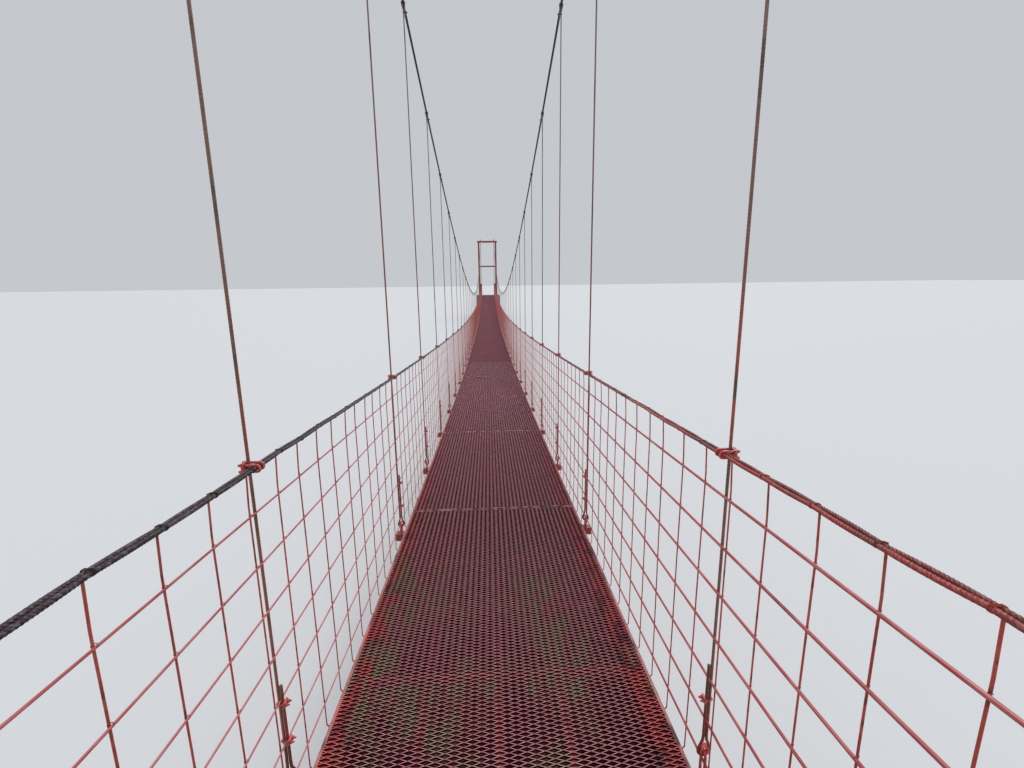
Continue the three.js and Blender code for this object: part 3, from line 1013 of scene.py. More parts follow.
def sheetLimits():
    limits = [-deckEnd, -deckEnd + sheet["firstLength"]]
    while limits[-1] + sheet["length"] < deckEnd - sheet["shortest"]:
        limits.append(limits[-1] + sheet["length"])
    return [*limits, deckEnd]


# Zigzag strand over one diamond: with flats where neighbours bond, or as a plain wedge
def strandMesh(mirrored, fine, wedge):
    swing = sheet["along"] / 4 - sheet["bondSpacing"] / 2
    start = swing if mirrored else -swing
    top = -sheet["topDrop"]
    bottom = top - sheet["strandDepth"]
    halfTop, halfFoot = sheet["strandTop"] / 2, sheet["strandFoot"] / 2
    foot = [(start, 0, bottom)] if wedge else [(start + halfFoot, 0, bottom), (start - halfFoot, 0, bottom)]
    outline = [(start - halfTop, 0, top), (start + halfTop, 0, top), *foot]
    flat = sheet["knuckle"] if fine else 0.0
    run = sheet["across"] / 2 - flat
    moves = [(0, flat, 0), (-2 * start, run, 0), (0, flat, 0), (2 * start, run, 0)]
    # Depth runs from the strand's top to its foot; the deck paint darkens the foot with it as painted shade
    depths = [0.0, 0.0] + [1.0] * len(foot)
    return sweptBar(outline, [move for move in moves if move[1] > 0], depths)


def openSheetMesh(fromX, toX, fine, wedge):
    along, across = sheet["along"], sheet["across"]
    acrossCount = round(2 * deckHalf / across)
    rowPair = []
    for row in (0, 1):
        bar = repeated(strandMesh(row == 1, fine, wedge), acrossCount, (0, across, 0), sheet["weld"])
        rowPair.append((closed(bar), at(along * row / 2, 0, 0)))
    rows = int((toX - fromX) / along)
    whole = repeated(joined(rowPair), rows, (along, 0, 0))
    margin = (toX - fromX - rows * along) / 2 + along / 4
    return shifted(placed(whole, at(fromX + margin, -deckHalf, 0)), up=deckHeight)


# Film of caught dirt and painted shade under the open sheets
dirt = {
    "cell": 0.022,
    "top": 0.0064,
    "thickness": 0.0005,
    "sideMargin": 0.007,
    "endMargin": 0.003,
    "relief": 0.0011,
    "noiseScale": 40.0,
}


# Thin uneven film that closes the openings from below: caught dirt and moss, and where none grows a dark
# sheet that stands for the shade under the deck
def dirtAndShadeMesh(fromX, toX):
    halfLength = (toX - fromX) / 2 - dirt["endMargin"]
    halfWidth = deckHalf - dirt["sideMargin"]
    bm = bmesh.new()
    cells = (round(2 * halfLength / dirt["cell"]), round(2 * halfWidth / sheet["across"]))
    bmesh.ops.create_grid(bm, x_segments=cells[0], y_segments=cells[1], size=1)
    bmesh.ops.scale(bm, vec=(halfLength, halfWidth, 1), verts=bm.verts)
    bmesh.ops.translate(bm, vec=((fromX + toX) / 2, 0, -dirt["top"]), verts=bm.verts)
    for vert in bm.verts:
        if not vert.is_boundary:
            vert.co.z += dirt["relief"] * noise.noise(vert.co * dirt["noiseScale"])
    bmesh.ops.solidify(bm, geom=bm.faces[:], thickness=dirt["thickness"])
    bmesh.ops.recalc_face_normals(bm, faces=bm.faces)
    return shifted(meshOf(bm), up=deckHeight)


# Flat bar that follows the deck, low and high are its sides across the deck
def deckBar(fromX, toX, low, high, top, thickness):
    stations = stationsBetween(fromX, toX)
    foot = top - thickness
    outline = [(fromX, low, top), (fromX, high, top), (fromX, high, foot), (fromX, low, foot)]
    moves = [(after - before, 0, 0) for before, after in zip(stations, stations[1:])]
    return shifted(closed(sweptBar(outline, moves)), up=deckHeight)


rim = {
    "width": 0.0055,
    "proud": 0.0004,
    "depth": 0.0034,
    "endWidth": 0.0020,
    "endDepth": 0.0026,
    "endProud": 0.0002,
}


def addDeckSheets():
    limits = sheetLimits()
    gap = sheet["seamGap"] / 2
    half = deckHalf + rim["proud"]
    inner = half - rim["width"]
    rims, endBars = [], []
    for i, (before, after) in enumerate(zip(limits, limits[1:])):
        fromX, toX = before + gap, after - gap
        if i < sheet["openCount"]:
            replaced = (f"deck_panel_{i // sheet['perPanel'] + 1}",)
            opened = openSheetMesh(fromX, toX, i in sheet["flatBonds"], i not in sheet["fourSided"])
            addPiece(f"expanded_sheet_{i + 1}", opened, sheetPaint, replaced)
            addPiece(f"caught_dirt_and_shade_{i + 1}", dirtAndShadeMesh(fromX, toX), dirtAndShadeFilm, replaced)
        for low, high in ((-half, -inner), (inner, half)):
            rims.append(deckBar(fromX, toX, low, high, rim["proud"], rim["depth"]))
        for x in (fromX, toX - rim["endWidth"]):
            endBars.append(deckBar(x, x + rim["endWidth"], -inner, inner, rim["endProud"], rim["endDepth"]))
    addPiece("sheet_rims", joined(rims), rimPaint)
    addPiece("sheet_ends", joined(endBars), endPaint)


addDeckSheets()
print("deck sheets laid")

# Bars under the sheets: cross bars between the floor beams, stringers and ledges along the deck
underframe = {
    "crossSpacing": 0.24,
    "crossTop": 0.0047,
    "crossWidth": 0.024,
    "crossDepth": 0.018,
    "barThickness": 0.002,
    "seamBarWidth": 0.030,
    "seamBarTop": 0.0078,
    "packerWidth": 0.020,  # between a floor beam and the sheet
    "packerDepth": 0.0060,
    "stringerTop": 0.0048,
    "stringerDepth": 0.0048,
    "stringerWidth": 0.012,
    "stringers": (0.143, 0.0, -0.12),
    "ledgeTop": 0.0050,
    "ledgeWidth": 0.036,
    "ledgeThickness": 0.0009,
}


def addUnderframe():
    look = underframe
    inside = deckHalf - rim["width"]

    def hungBar(width, depth):
        return boxMesh((width, 2 * inside, depth), (0, 0, -depth / 2))

    flange = hungBar(look["crossWidth"], look["barThickness"])
    crossBar = joined([flange, hungBar(look["barThickness"], look["crossDepth"])])
    packer = hungBar(look["packerWidth"], look["packerDepth"])
    bars = []
    for before, after in zip(bayEnds, bayEnds[1:]):
        count = round((after - before) / look["crossSpacing"])
        for x in arc(before, after - before, count)[1:-1]:
            bars.append((crossBar, at(x, 0, deckHeight(x) - look["crossTop"])))
    bars += [(packer, at(x, 0, deckHeight(x) - look["crossTop"])) for x in hangers]
    for y in look["stringers"]:
        low, high = y - look["stringerWidth"] / 2, y + look["stringerWidth"] / 2
        bars.append(deckBar(bayEnds[0], bayEnds[-1], low, high, -look["stringerTop"], look["stringerDepth"]))
    # These bars and the ledges take the paint brightened as painted light
    addPiece("under_deck_bars", joined(bars), underLitPaint)
    seamBar = boxMesh((look["seamBarWidth"], 2 * inside, look["barThickness"]))
    drop = look["seamBarTop"] + look["barThickness"] / 2
    seams = [(seamBar, at(x, 0, deckHeight(x) - drop)) for x in sheetLimits()[1:-1]]
    addPiece("seam_bars", joined(seams), steelPaint)
    ledges = []
    openEnd = sheetLimits()[sheet["openCount"]]
    for low, high in ((-inside, look["ledgeWidth"] - inside), (inside - look["ledgeWidth"], inside)):
        ledges.append(deckBar(bayEnds[0], openEnd, low, high, -look["ledgeTop"], look["ledgeThickness"]))
    addPiece("deck_ledges", joined(ledges), underLitPaint)


addUnderframe()
print("underframe set")

# Handrails: two ropes side by side, seized to the top of every rod
rail = {
    "middle": 0.3115,
    "radius": 0.0025,
    "halfSpacing": 0.0026,
    "layLength": 0.022,
    "laidUntil": -11.1,  # beyond it the strands are bump
    "gape": {"left": 0.0002, "right": 0.0006},  # each rope's way out between two rods
    "rise": {"left": 0.0004, "right": 0.0006},  # one rope up and the other down there
    "stray": 0.0016,  # of both ropes up or down at a rod
    "strayEnd": 0.05,  # none this near the end of the laid strands
    "strayGrip": 0.02,  # none this near a hanger
    "fadeLength": 0.2,
    "seed": {"left": 3, "right": 8},
}
rod = {
    "offset": 0.3197,
    "topOffset": 0.3174,
    "straightUntil": 0.485,
    "radius": 0.0012,
    "spacing": 0.0861,
    "beforeHanger": 0.017,
    "footDrop": 0.027,
    "footPath": ((-0.0003, -0.006), (0.006, -0.004)),  # out from the deck's edge bar, up from the foot
    "footRise": 0.006,
    "bends": ((0.0004, 0.0002, 0.14), (-0.0003, 0.0, 0.33)),  # along, out and up
    "aboveRail": 0.001,
    "lean": 0.7,
    "seizingUntil": -9.6,  # beyond it one turn stands for the whole seizing
    "seizingReach": 0.0008,  # the turns' way out round the rod
    "seizingWire": 0.0004,
    "seizingSpacing": 0.0010,
    "plainSeizing": 1.5,  # times the wire's radius, where one turn stands for all
    "tieUntil": -10.55,
    "seed": 11,
}


def rodPlaces():
    places = []
    for before, after in zip(bayEnds, bayEnds[1:]):
        count = round((after - before) / rod["spacing"])
        places += [before - rod["beforeHanger"] + (after - before) * k / count for k in range(count)]
    return [x for x in places if abs(x) < plateFace]


rods = rodPlaces()


def railStrays(sideName):
    rng = random.Random(rail["seed"][sideName])
    strayUntil = rail["laidUntil"] - rail["strayEnd"]
    free = [x < strayUntil and min(abs(x - place) for place in hangers) > rail["strayGrip"] for x in rods]
    return [rng.uniform(-1, 1) * rail["stray"] if isFree else 0.0 for isFree in free]


strays = {sideName: railStrays(sideName) for sideName in sides}


def addHandrail(sideName, side):
    fromX, toX, laidUntil = -plateFace, plateFace, rail["laidUntil"]
    laid = placed(laidRope(rail["radius"], laidUntil - fromX, rail["layLength"]), at(fromX, 0, 0) @ aboutY)
    centres = np.array(rods)

    def betweenRods(x):
        nearest = np.abs(x[:, None] - centres[None, :]).min(axis=1)
        fade = np.clip((laidUntil - x) / rail["fadeLength"], 0, 1)
        return fade * np.sin(np.clip(nearest / rod["spacing"], 0, 0.5) * math.pi)

    nearRopes, farRopes = [], []
    for place in (-1, 1):
        gape, rise = place * rail["gape"][sideName], place * side * rail["rise"][sideName]
        rope = tagged(laid.copy(), "outerRope", place == side)
        shifted(rope, lambda x: gape * betweenRods(x), lambda x: rise * betweenRods(x))
        y = side * rail["middle"] + place * rail["halfSpacing"]
        nearRopes.append((rope, at(0, y, 0)))
        farRoute = [(x, y, railLine(x)) for x in stationsBetween(laidUntil, toX)]
        farRope = barMesh([farRoute], rail["radius"], roundness["rail"], rail["layLength"])
        farRopes.append(tagged(farRope, "outerRope", place == side))
    near = shifted(joined(nearRopes), up=lambda x: railLine(x) + np.interp(x, rods, strays[sideName]))
    replaced = (sideName + "_handrail",)
    addPiece(sideName + "_rail_near", near, laidRail[sideName], replaced)
    addPiece(sideName + "_rail_far", joined(farRopes), plainRail[sideName], replaced)


# Closed turn of wire round both rail ropes and the rod's top, half sunk between the strands
def seizingRoute(x, wireRadius, stepsPerEnd, slant):
    reach = rail["radius"] + wireRadius / 2
    route = []
    for end, centre in ((1, rail["halfSpacing"] + rod["seizingReach"]), (-1, -rail["halfSpacing"])):
        for angle in arc(end * math.pi / 2, -math.pi, stepsPerEnd):
            y = rail["middle"] + centre + reach * math.cos(angle)
            route.append((x + slant * end, y, reach * math.sin(angle)))
    return route


# Rod from the deck's edge bar, up outside the wires to the outer rail rope
def rodMesh(fine):
    edge = deckHalf + rod["radius"]
    foot = -rod["footDrop"]
    points = [(0, edge + out, foot + up) for out, up in rod["footPath"]]
    points.append((0, rod["offset"], foot + rod["footRise"]))
    if fine:
        points += [(along, rod["offset"] + out, up) for along, out, up in rod["bends"]]
    top = railHeight + rod["aboveRail"]
    points += [(0, rod["offset"], rod["straightUntil"]), (0, rod["topOffset"], top)]
    return barMesh([points], rod["radius"], roundness["bar"][fine])


def seizingMesh(fine):
    wire, spacing = rod["seizingWire"], rod["seizingSpacing"]
    steps = roundness["seizing"][fine]
    if fine:
        turns = [seizingRoute(x, wire, steps, wire) for x in (-spacing, 0.0, spacing)]
    else:
        turns = [seizingRoute(0, wire, steps, 0.0)]
    radius = wire if fine else rod["plainSeizing"] * wire
    return placed(barMesh(turns, radius, roundness["thinWire"], loop=True), at(0, 0, railHeight))


sideWire = {
    "outerFace": 0.3184,
    "radius": {"left": 0.0013, "right": 0.0020},
    "sag": 0.0008,
    "wobble": 0.0009,
    "seed": 4,
}
wireTie = {"slack": 0.0002, "height": 0.0014, "radius": 0.0005, "corners": 6}


def sideNodes(sideName):
    return [f"{sideName}_side_{i}" for i in (1, 2, 3)]


def bothDetails(make):
    return {fine: make(fine) for fine in (True, False)}


def addSideWires(sideName, side):
    rng = random.Random(sideWire["seed"] + side)
    radius = sideWire["radius"][sideName]
    y = side * (sideWire["outerFace"] - radius)
    bays = [-plateFace, *hangers, plateFace]
    routes = []
    for above in wireHeights:
        points = []
        for before, after in zip(bays, bays[1:]):
            points.append((before, 0.0))
            points.append(((before + after) / 2, rng.uniform(-1, 1) * sideWire["wobble"] - sideWire["sag"]))
        points.append((bays[-1], 0.0))
        routes.append([(x, y, deckHeight(x) + above + dz) for x, dz in points])
    wires = barMesh(routes, radius, roundness["sideWire"])
    addPiece(sideName + "_wires", wires, wirePaint, sideNodes(sideName))


# Loop of thin wire round a side wire and a rod where they cross
def tieMesh(wireRadius):
    reach = wireRadius + wireTie["slack"]
    upright = reach + wireTie["height"]
    angles = [2 * math.pi / wireTie["corners"] * i for i in range(wireTie["corners"])]
    route = [(reach * math.sin(a), upright * math.cos(a), reach * math.sin(a)) for a in angles]
    return barMesh([route], wireTie["radius"], roundness["thinWire"], loop=True)


def addRods(sideName, side):
    rng = random.Random(rod["seed"] + side)
    rodOf, seizingOf = bothDetails(rodMesh), bothDetails(seizingMesh)
    wireRadius = sideWire["radius"][sideName]
    tie = tieMesh(wireRadius)
    middle = (sideWire["outerFace"] - wireRadius + rod["offset"]) / 2
    standing, seizings, ties = [], [], []
    for x, stray in zip(rods, strays[sideName]):
        lean = Matrix.Rotation(math.radians(rng.uniform(-rod["lean"], rod["lean"])), 4, "Y")
        place = sideMatrix(side, x, 0, deckHeight(x)) @ lean
        fine = x < rod["seizingUntil"]
        standing.append((rodOf[fine], place))
        seizings.append((seizingOf[fine], place @ at(0, 0, stray)))
        if x < rod["tieUntil"]:
            ties += [(tie, place @ at(0, middle, above)) for above in wireHeights]
    addPiece(sideName + "_rods", joined(standing), rodPaint)
    addPiece(sideName + "_seizings", joined(seizings), laidRail[sideName])
    addPiece(sideName + "_wire_ties", joined(ties), clipPaint)


for sideName, side in sides.items():
    addHandrail(sideName, side)
    addSideWires(sideName, side)
    addRods(sideName, side)
print("handrails, wires and rods strung")

# Hangers, with a thimble and clips at the foot and a loop over the main cable
mainCable = {"offset": bridge["hangerOffset"], "radius": 0.0049, "layLength": 0.065}
hanger = {
    "offset": bridge["hangerOffset"],
    "radius": 0.0023,
    "layLength": 0.028,
    "pairSpacing": 0.0050,
    "ringHeight": 0.022,
    "ringRadius": 0.0100,
    "throat": 0.022,  # above the ring's centre
    "ropeStart": 0.03,  # above the throat
    "throatBend": 0.004,  # rope's bend above and below the throat
    "throatPinch": 0.0008,
    "turnFrom": 0.012,  # above the throat, where the ring's turn starts to show
    "turnLength": 0.016,
    "footBend": range(20, -201, -20),  # degrees round the ring
    "tailTop": 0.2,
    "clipHeights": (0.095, 0.172),
    "clipSpread": 0.008,
    "topClip": 0.034,  # under the main cable
    "topStart": 0.02,  # under that clip
    "topBendStart": 0.006,  # over that clip
    "topPinch": 0.0002,
    "topBend": range(-20, 201, 22),  # degrees round the main cable
    "topTail": 0.05,
    "laidCount": 1,  # hangers of each side with laid strands
    "fineCount": 2,
    "ringTurn": 55,
    "redUpTo": 0.25,  # above the rail
    "redFade": 1.2,
    "redUnderRail": (0.5, 1.0),
    "redOverRail": {"left": 0.25, "right": 0.8},
    # Turn and height of the first ring, heights of its clips, redness under the rail
    "first": {"left": (55, 0.036, (0.105, 0.17), 0.25), "right": (5, 0.046, (0.14,), 0.0)},
    "seed": 31,
}
pairMiddle = -hanger["pairSpacing"] / 2
thimble = {
    "innerIn": 0.0042,  # in from the ring's radius
    "innerHalf": 0.0034,  # half its width there
    "outerIn": 0.0012,
    "outerHalf": 0.0038,
    "grooveDepth": 0.0014,
}
eye = {"half": 0.0072, "barRadius": 0.0024, "slack": 0.0022, "footDrop": 0.0114}
clip = {
    "bar": 0.0013,
    "legLength": 0.0085,
    "saddleExtra": 0.0052,
    "saddleDepth": 0.0034,
    "saddleHeight": 0.0085,
    "saddleIn": 0.0014,
    "bevel": 0.0009,
    "nut": (0.0027, 0.0026),  # radius and height
    "nutIn": 0.0046,
}
railClip = {
    "bar": 0.0019,
    "spread": 0.0056,
    "slack": 0.0002,
    "plate": (0.020, 0.0036, 0.0150),
    "bevel": 0.0008,
    "legLength": 0.008,
    "nut": (0.0028, 0.0026),
    "nutOut": 0.0044,
}


# Down, round the thimble and up again on the deck side, with the ring turned about the pair's middle
def footRoute(turn, ringHeight):
    ring, tail = hanger["ringRadius"], 2 * pairMiddle
    bend, pinch = hanger["throatBend"], hanger["throatPinch"]
    throat = ringHeight + hanger["throat"]
    points = [(0, throat + hanger["ropeStart"]), (0, throat + bend), (pinch, throat - bend)]
    for angle in map(math.radians, hanger["footBend"]):
        points.append((pairMiddle + ring * math.cos(angle), ringHeight + ring * math.sin(angle)))
    points += [(tail - pinch, throat - bend), (tail, throat + bend), (tail, hanger["tailTop"])]
    route = []
    for y, z in points:
        share = min(1.0, max(0.0, (throat + hanger["turnFrom"] - z) / hanger["turnLength"]))
        away = y - pairMiddle
        route.append((-away * math.sin(turn * share), pairMiddle + away * math.cos(turn * share), z))
    return route


def thimbleMesh(fine):
    inner, outer = (hanger["ringRadius"] - thimble[key] for key in ("innerIn", "outerIn"))
    innerHalf, outerHalf = thimble["innerHalf"], thimble["outerHalf"]
    profile = [(inner, -innerHalf), (outer, -outerHalf), (outer - thimble["grooveDepth"], 0.0)]
    profile += [(outer, outerHalf), (inner, innerHalf)]
    return placed(lathed(profile, roundness["thimble"][fine]), aboutY)


# Bent bar on the floor beam's end that holds the thimble
def eyeMesh(ringHeight, fine):
    half, foot = eye["half"], -eye["footDrop"]
    centre = ringHeight - half - eye["slack"]
    angles = arc(0, math.pi, roundness["bow"][fine])
    bow = [(half * math.cos(a), pairMiddle, centre + half * math.sin(a)) for a in angles]
    points = [(half, pairMiddle, foot), *bow, (-half, pairMiddle, foot)]
    return barMesh([points], eye["barRadius"], roundness["bar"][fine])


# Rope clip: bow round the outer rope, legs to the deck side through saddle and nuts
def clipMesh(fine):
    reach = hanger["radius"] + clip["bar"]
    inner = -hanger["pairSpacing"] - hanger["radius"]
    legEnd = inner - clip["legLength"]
    bow = [(reach * math.cos(a), reach * math.sin(a), 0) for a in arc(0, math.pi, roundness["bow"][fine])]
    bar = barMesh([[(reach, legEnd, 0), *bow, (-reach, legEnd, 0)]], clip["bar"], roundness["bar"][fine])
    size = (2 * reach + clip["saddleExtra"], clip["saddleDepth"], clip["saddleHeight"])
    saddlePlate = boxMesh(size, (0, inner - clip["saddleIn"], 0), clip["bevel"] if fine else 0)
    nut = placed(nutMesh(*clip["nut"], fine), aboutX)
    return joined([bar, saddlePlate, *((nut, at(x, inner - clip["nutIn"], 0)) for x in (-reach, reach))])


# Two U-bolts that hold the rail ropes to a hanger, with one plate outside it
def railClipMesh(fine):
    look = railClip
    reach = rail["radius"] + look["bar"]
    innerY = rail["middle"] - rail["halfSpacing"]
    plateY = hanger["offset"] + hanger["radius"] + look["slack"]
    legY = plateY + look["legLength"]
    nut = placed(nutMesh(*look["nut"], fine), aboutX)
    parts = [boxMesh(look["plate"], (0, plateY + look["plate"][1] / 2, 0), look["bevel"] if fine else 0)]
    for x in (-look["spread"], look["spread"]):
        angles = arc(math.pi / 2, math.pi, roundness["bow"][fine])
        bow = [(x, innerY + reach * math.cos(a), reach * math.sin(a)) for a in angles]
        route = [(x, legY, reach), *bow, (x, legY, -reach)]
        parts.append(barMesh([route], look["bar"], roundness["bar"][fine]))
        parts += [(nut, at(x, plateY + look["nutOut"], z)) for z in (-reach, reach)]
    return joined(parts)


# Over the main cable and down again on the deck side, from the cable's own middle
def topRoute():
    reach = mainCable["radius"] + hanger["radius"]
    bend, pinch, tail = -hanger["topClip"] + hanger["topBendStart"], hanger["topPinch"], 2 * pairMiddle
    over = [(0, reach * math.cos(a), reach * math.sin(a)) for a in map(math.radians, hanger["topBend"])]
    start = [(0, 0, -hanger["topClip"] - hanger["topStart"]), (0, pinch, bend)]
    return [*start, *over, (0, tail - pinch, bend), (0, tail, -hanger["topTail"])]


# Height above the deck and redness of the paint under and over the rail, for the hangers' material
def marked(mesh, redness):
    co, x = coordinates(mesh)
    above = co[2::3] - deckHeight(x)
    tagged(mesh, "aboveDeck", above)
    overRail = (above - railHeight) / hanger["redUpTo"]
    low, high = redness
    fading = high * np.clip(hanger["redFade"] - overRail, 0, 1)
    return tagged(mesh, "redness", np.where(overRail < 0, low, fading))


def addHangers(sideName, side):
    rng = random.Random(hanger["seed"] + side)
    clips, railClips, rings = (bothDetails(make) for make in (clipMesh, railClipMesh, thimbleMesh))
    radius, layLength, y = hanger["radius"], hanger["layLength"], side * hanger["offset"]
    topLoop = barMesh([topRoute()], radius, roundness["hangerTop"], layLength)
    laidRopes, plainRopes, ringParts, clipParts, topClips = ([] for _ in range(5))
    for index, x in enumerate(hangers):
        laid, fine = index < hanger["laidCount"], index < hanger["fineCount"]
        redness = (rng.uniform(*hanger["redUnderRail"]), hanger["redOverRail"][sideName])
        degrees = rng.uniform(-hanger["ringTurn"], hanger["ringTurn"])
        ringHeight = hanger["ringHeight"]
        clipHeights = [h + rng.uniform(-1, 1) * hanger["clipSpread"] for h in hanger["clipHeights"]]
        if index == 0:
            degrees, ringHeight, clipHeights, lowRed = hanger["first"][sideName]
            redness = (lowRed, redness[1])
        turn = math.radians(degrees)
        deck, cable = deckHeight(x), cableHeight(x)
        place = sideMatrix(side, x, hanger["offset"], deck)
        cablePlace = sideMatrix(side, x, mainCable["offset"], cable)
        low = deck + ringHeight + hanger["throat"] + hanger["ropeStart"]
        high = cable - hanger["topClip"] - hanger["topStart"]
        if laid:
            long = placed(laidRope(radius, high - low, layLength), at(x, y, low))
        else:
            long = barMesh([[(x, y, low), (x, y, high)]], radius, roundness["hanger"], layLength)
        (laidRopes if laid else plainRopes).append(marked(long, redness))
        foot = barMesh([footRoute(turn, ringHeight)], radius, roundness["hangerFoot"][fine], layLength)
        ropeEnds = (placed(foot, place), placed(topLoop.copy(), cablePlace))
        plainRopes += [marked(ropeEnd, redness) for ropeEnd in ropeEnds]
        ringSpot = at(0, pairMiddle, ringHeight) @ Matrix.Rotation(turn, 4, "Z")
        ringParts += [(rings[fine], place @ ringSpot), (eyeMesh(ringHeight, fine), place)]
        clipParts += [(clips[fine], place @ at(0, 0, height)) for height in clipHeights]
        clipParts.append((railClips[fine], sideMatrix(side, x, 0, railLine(x))))
        topClips.append((clips[fine], cablePlace @ at(0, 0, -hanger["topClip"])))
    replaced = sideNodes(sideName)
    addPiece(sideName + "_hangers_near", joined(laidRopes), laidHanger, replaced)
    addPiece(sideName + "_hangers", joined(plainRopes), plainHanger, replaced)
    addPiece(sideName + "_hanger_rings", joined(ringParts), clipPaint)
    addPiece(sideName + "_clips", joined(clipParts), clipPaint)
    addPiece(sideName + "_cable_clips", joined(topClips), hardwareSteel)


for sideName, side in sides.items():
    addHangers(sideName, side)
print("hangers clipped")

# Main cables over the saddles, and the backstays with their rigging down to the anchors
slopeAtTower = math.atan(4 * bridge["cableSag"] / (2 * halfSpan))
towerX = (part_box("far_top_beam")[0].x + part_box("far_top_beam")[1].x) / 2
arcRadius = (towerX - halfSpan) / math.sin(slopeAtTower)
arcCentreZ = deckTop + bridge["cableRise"] - arcRadius * math.cos(slopeAtTower)
backstay = {
    "angle": math.radians(44),
    "entry": (15.9919, 0.34),  # where the rod leaves the concrete, from mid-span and from the ground
    "rodRadius": 0.009,
    "rodLength": 0.21,
    "turnbuckleLength": 0.31,
    "turnbuckleWidth": 0.055,
    "barWidth": 0.014,
    "screwLength": 0.12,
    "socketLength": 0.09,
    "threadPitch": 0.005,
    "threadDepth": 0.0013,
    "overlap": 0.004,  # of a piece with the one below it
    "threadUnder": 0.05,  # under the turnbuckle
    "threadInside": 0.075,
    # Radius and height of the socket's points, from its start and from its end
    "socketFoot": ((0.0135, -0.004), (0.0168, 0.002), (0.0168, 0.022), (0.0145, 0.03)),
    "socketTop": ((0.0108, -0.006), (0.0116, -0.005), (0.0116, 0.0)),
    "barExtra": 0.003,  # of the bars' depth over their width
    "barShort": 0.02,
    "barBevel": 0.003,
    "headNarrow": 0.004,
    "headSize": (0.021, 0.038),
    "headIn": 0.019,
    "headBevel": 0.005,
    "nut": (0.0165, 0.013),  # radius and height
    "nutOut": 0.008,
    "ropeIn": 0.01,
}


def arcPoint(end, y, angle):
    return (end * (towerX + arcRadius * math.sin(angle)), y, arcCentreZ + arcRadius * math.cos(angle))


def addMainCable(sideName, side):
    y = side * mainCable["offset"]
    bend = arc(0, -slopeAtTower, roundness["saddleBend"])
    nearArc, farArc = ([arcPoint(end, y, a) for a in bend] for end in (-1, 1))
    route = nearArc + [(x, y, cableHeight(x)) for x in hangers] + farArc[::-1]
    mesh = barMesh([route], mainCable["radius"], roundness["cable"], mainCable["layLength"])
    addPiece(sideName + "_cable", mesh, plainCable, (sideName + "_main_cable",))


def threadMesh(low, high):
    count = int((high - low) / backstay["threadPitch"])
    step = (high - low) / (2 * count)
    radii = (backstay["rodRadius"], backstay["rodRadius"] - backstay["threadDepth"])
    crests = [(radii[i % 2], low + step * i) for i in range(2 * count + 1)]
    return lathed([(0, low), *crests, (0, high)], roundness["thread"])


# Rod, turnbuckle, screw and socket, standing on the concrete along Z
def riggingMesh():
    look = backstay
    rodEnd = look["rodLength"]
    top = rodEnd + look["turnbuckleLength"]
    screwEnd = top + look["screwLength"]
    socketEnd = screwEnd + look["socketLength"]
    shankEnd = rodEnd - look["threadUnder"]
    socket = [(0, screwEnd - look["overlap"]), *((r, screwEnd + z) for r, z in look["socketFoot"])]
    socket += [*((r, socketEnd + z) for r, z in look["socketTop"]), (0, socketEnd)]
    parts = [
        threadMesh(shankEnd, rodEnd + look["threadInside"]),
        threadMesh(top - look["threadInside"], screwEnd),
        cylinder(look["rodRadius"], -look["overlap"], shankEnd, roundness["shank"]),
        lathed(socket, roundness["socket"]),
    ]
    reach = (look["turnbuckleWidth"] - look["barWidth"]) / 2
    barLength = look["turnbuckleLength"] - look["barShort"]
    barSize = (look["barWidth"], look["barWidth"] + look["barExtra"], barLength)
    headSize = (look["turnbuckleWidth"] - look["headNarrow"], *look["headSize"])
    parts += [boxMesh(barSize, (x, 0, (rodEnd + top) / 2), look["barBevel"]) for x in (-reach, reach)]
    heads = (rodEnd + look["headIn"], top - look["headIn"])
    parts += [boxMesh(headSize, (0, 0, z), look["headBevel"]) for z in heads]
    nut = nutMesh(*look["nut"])
    return joined(parts + [(nut, at(0, 0, z)) for z in (rodEnd - look["nutOut"], top + look["nutOut"])])


def addBackstays():
    rigging = riggingMesh()
    tilt = math.pi / 2 - backstay["angle"]
    length = sum(backstay[key] for key in ("rodLength", "turnbuckleLength", "screwLength", "socketLength"))
    entryX, entryZ = backstay["entry"]
    for endName, end in ends.items():
        for sideName, side in sides.items():
            name = f"{endName}_{sideName}"
            y = side * mainCable["offset"]
            place = at(end * entryX, y, entryZ) @ Matrix.Rotation(-end * tilt, 4, "Y")
            replaced = (name + "_backstay",)
            addPiece(name + "_rigging", placed(rigging.copy(), place), hardwareSteel, replaced)
            over = [arcPoint(end, y, a) for a in arc(0, backstay["angle"], roundness["backstayBend"])]
            route = [*over, tuple(place @ Vector((0, 0, length - backstay["ropeIn"])))]
            rope = barMesh([route], mainCable["radius"], roundness["cable"], mainCable["layLength"])
            addPiece(name + "_backstay_rope", rope, plainCable, replaced)


for sideName, side in sides.items():
    addMainCable(sideName, side)
addBackstays()
print("cables and backstays set")

# Bolts, welds and wire ends on the towers
tower = {
    "legOffset": 0.4075,
    "legHalf": 0.0375,
    "plateTop": 0.9734,
    "boltReach": 0.053,
    "boltRadius": 0.005,
    "nutRadius": 0.0092,
    "beadRadius": 0.0022,
    "endPlateThickness": 0.0103,
    "washer": (0.0115, 0.0016),  # radius and height
    "nutHeight": 0.008,
    "nutCentre": 0.0056,
    "boltTop": (0.0155, 0.0168),  # where its tip starts and ends
    "tipIn": 0.001,
    "wireNutRadius": 0.0042,
    "wireNutHeight": 0.004,
    "wireStub": (0.0019, 0.009),
    "wireIn": 0.0016,
}


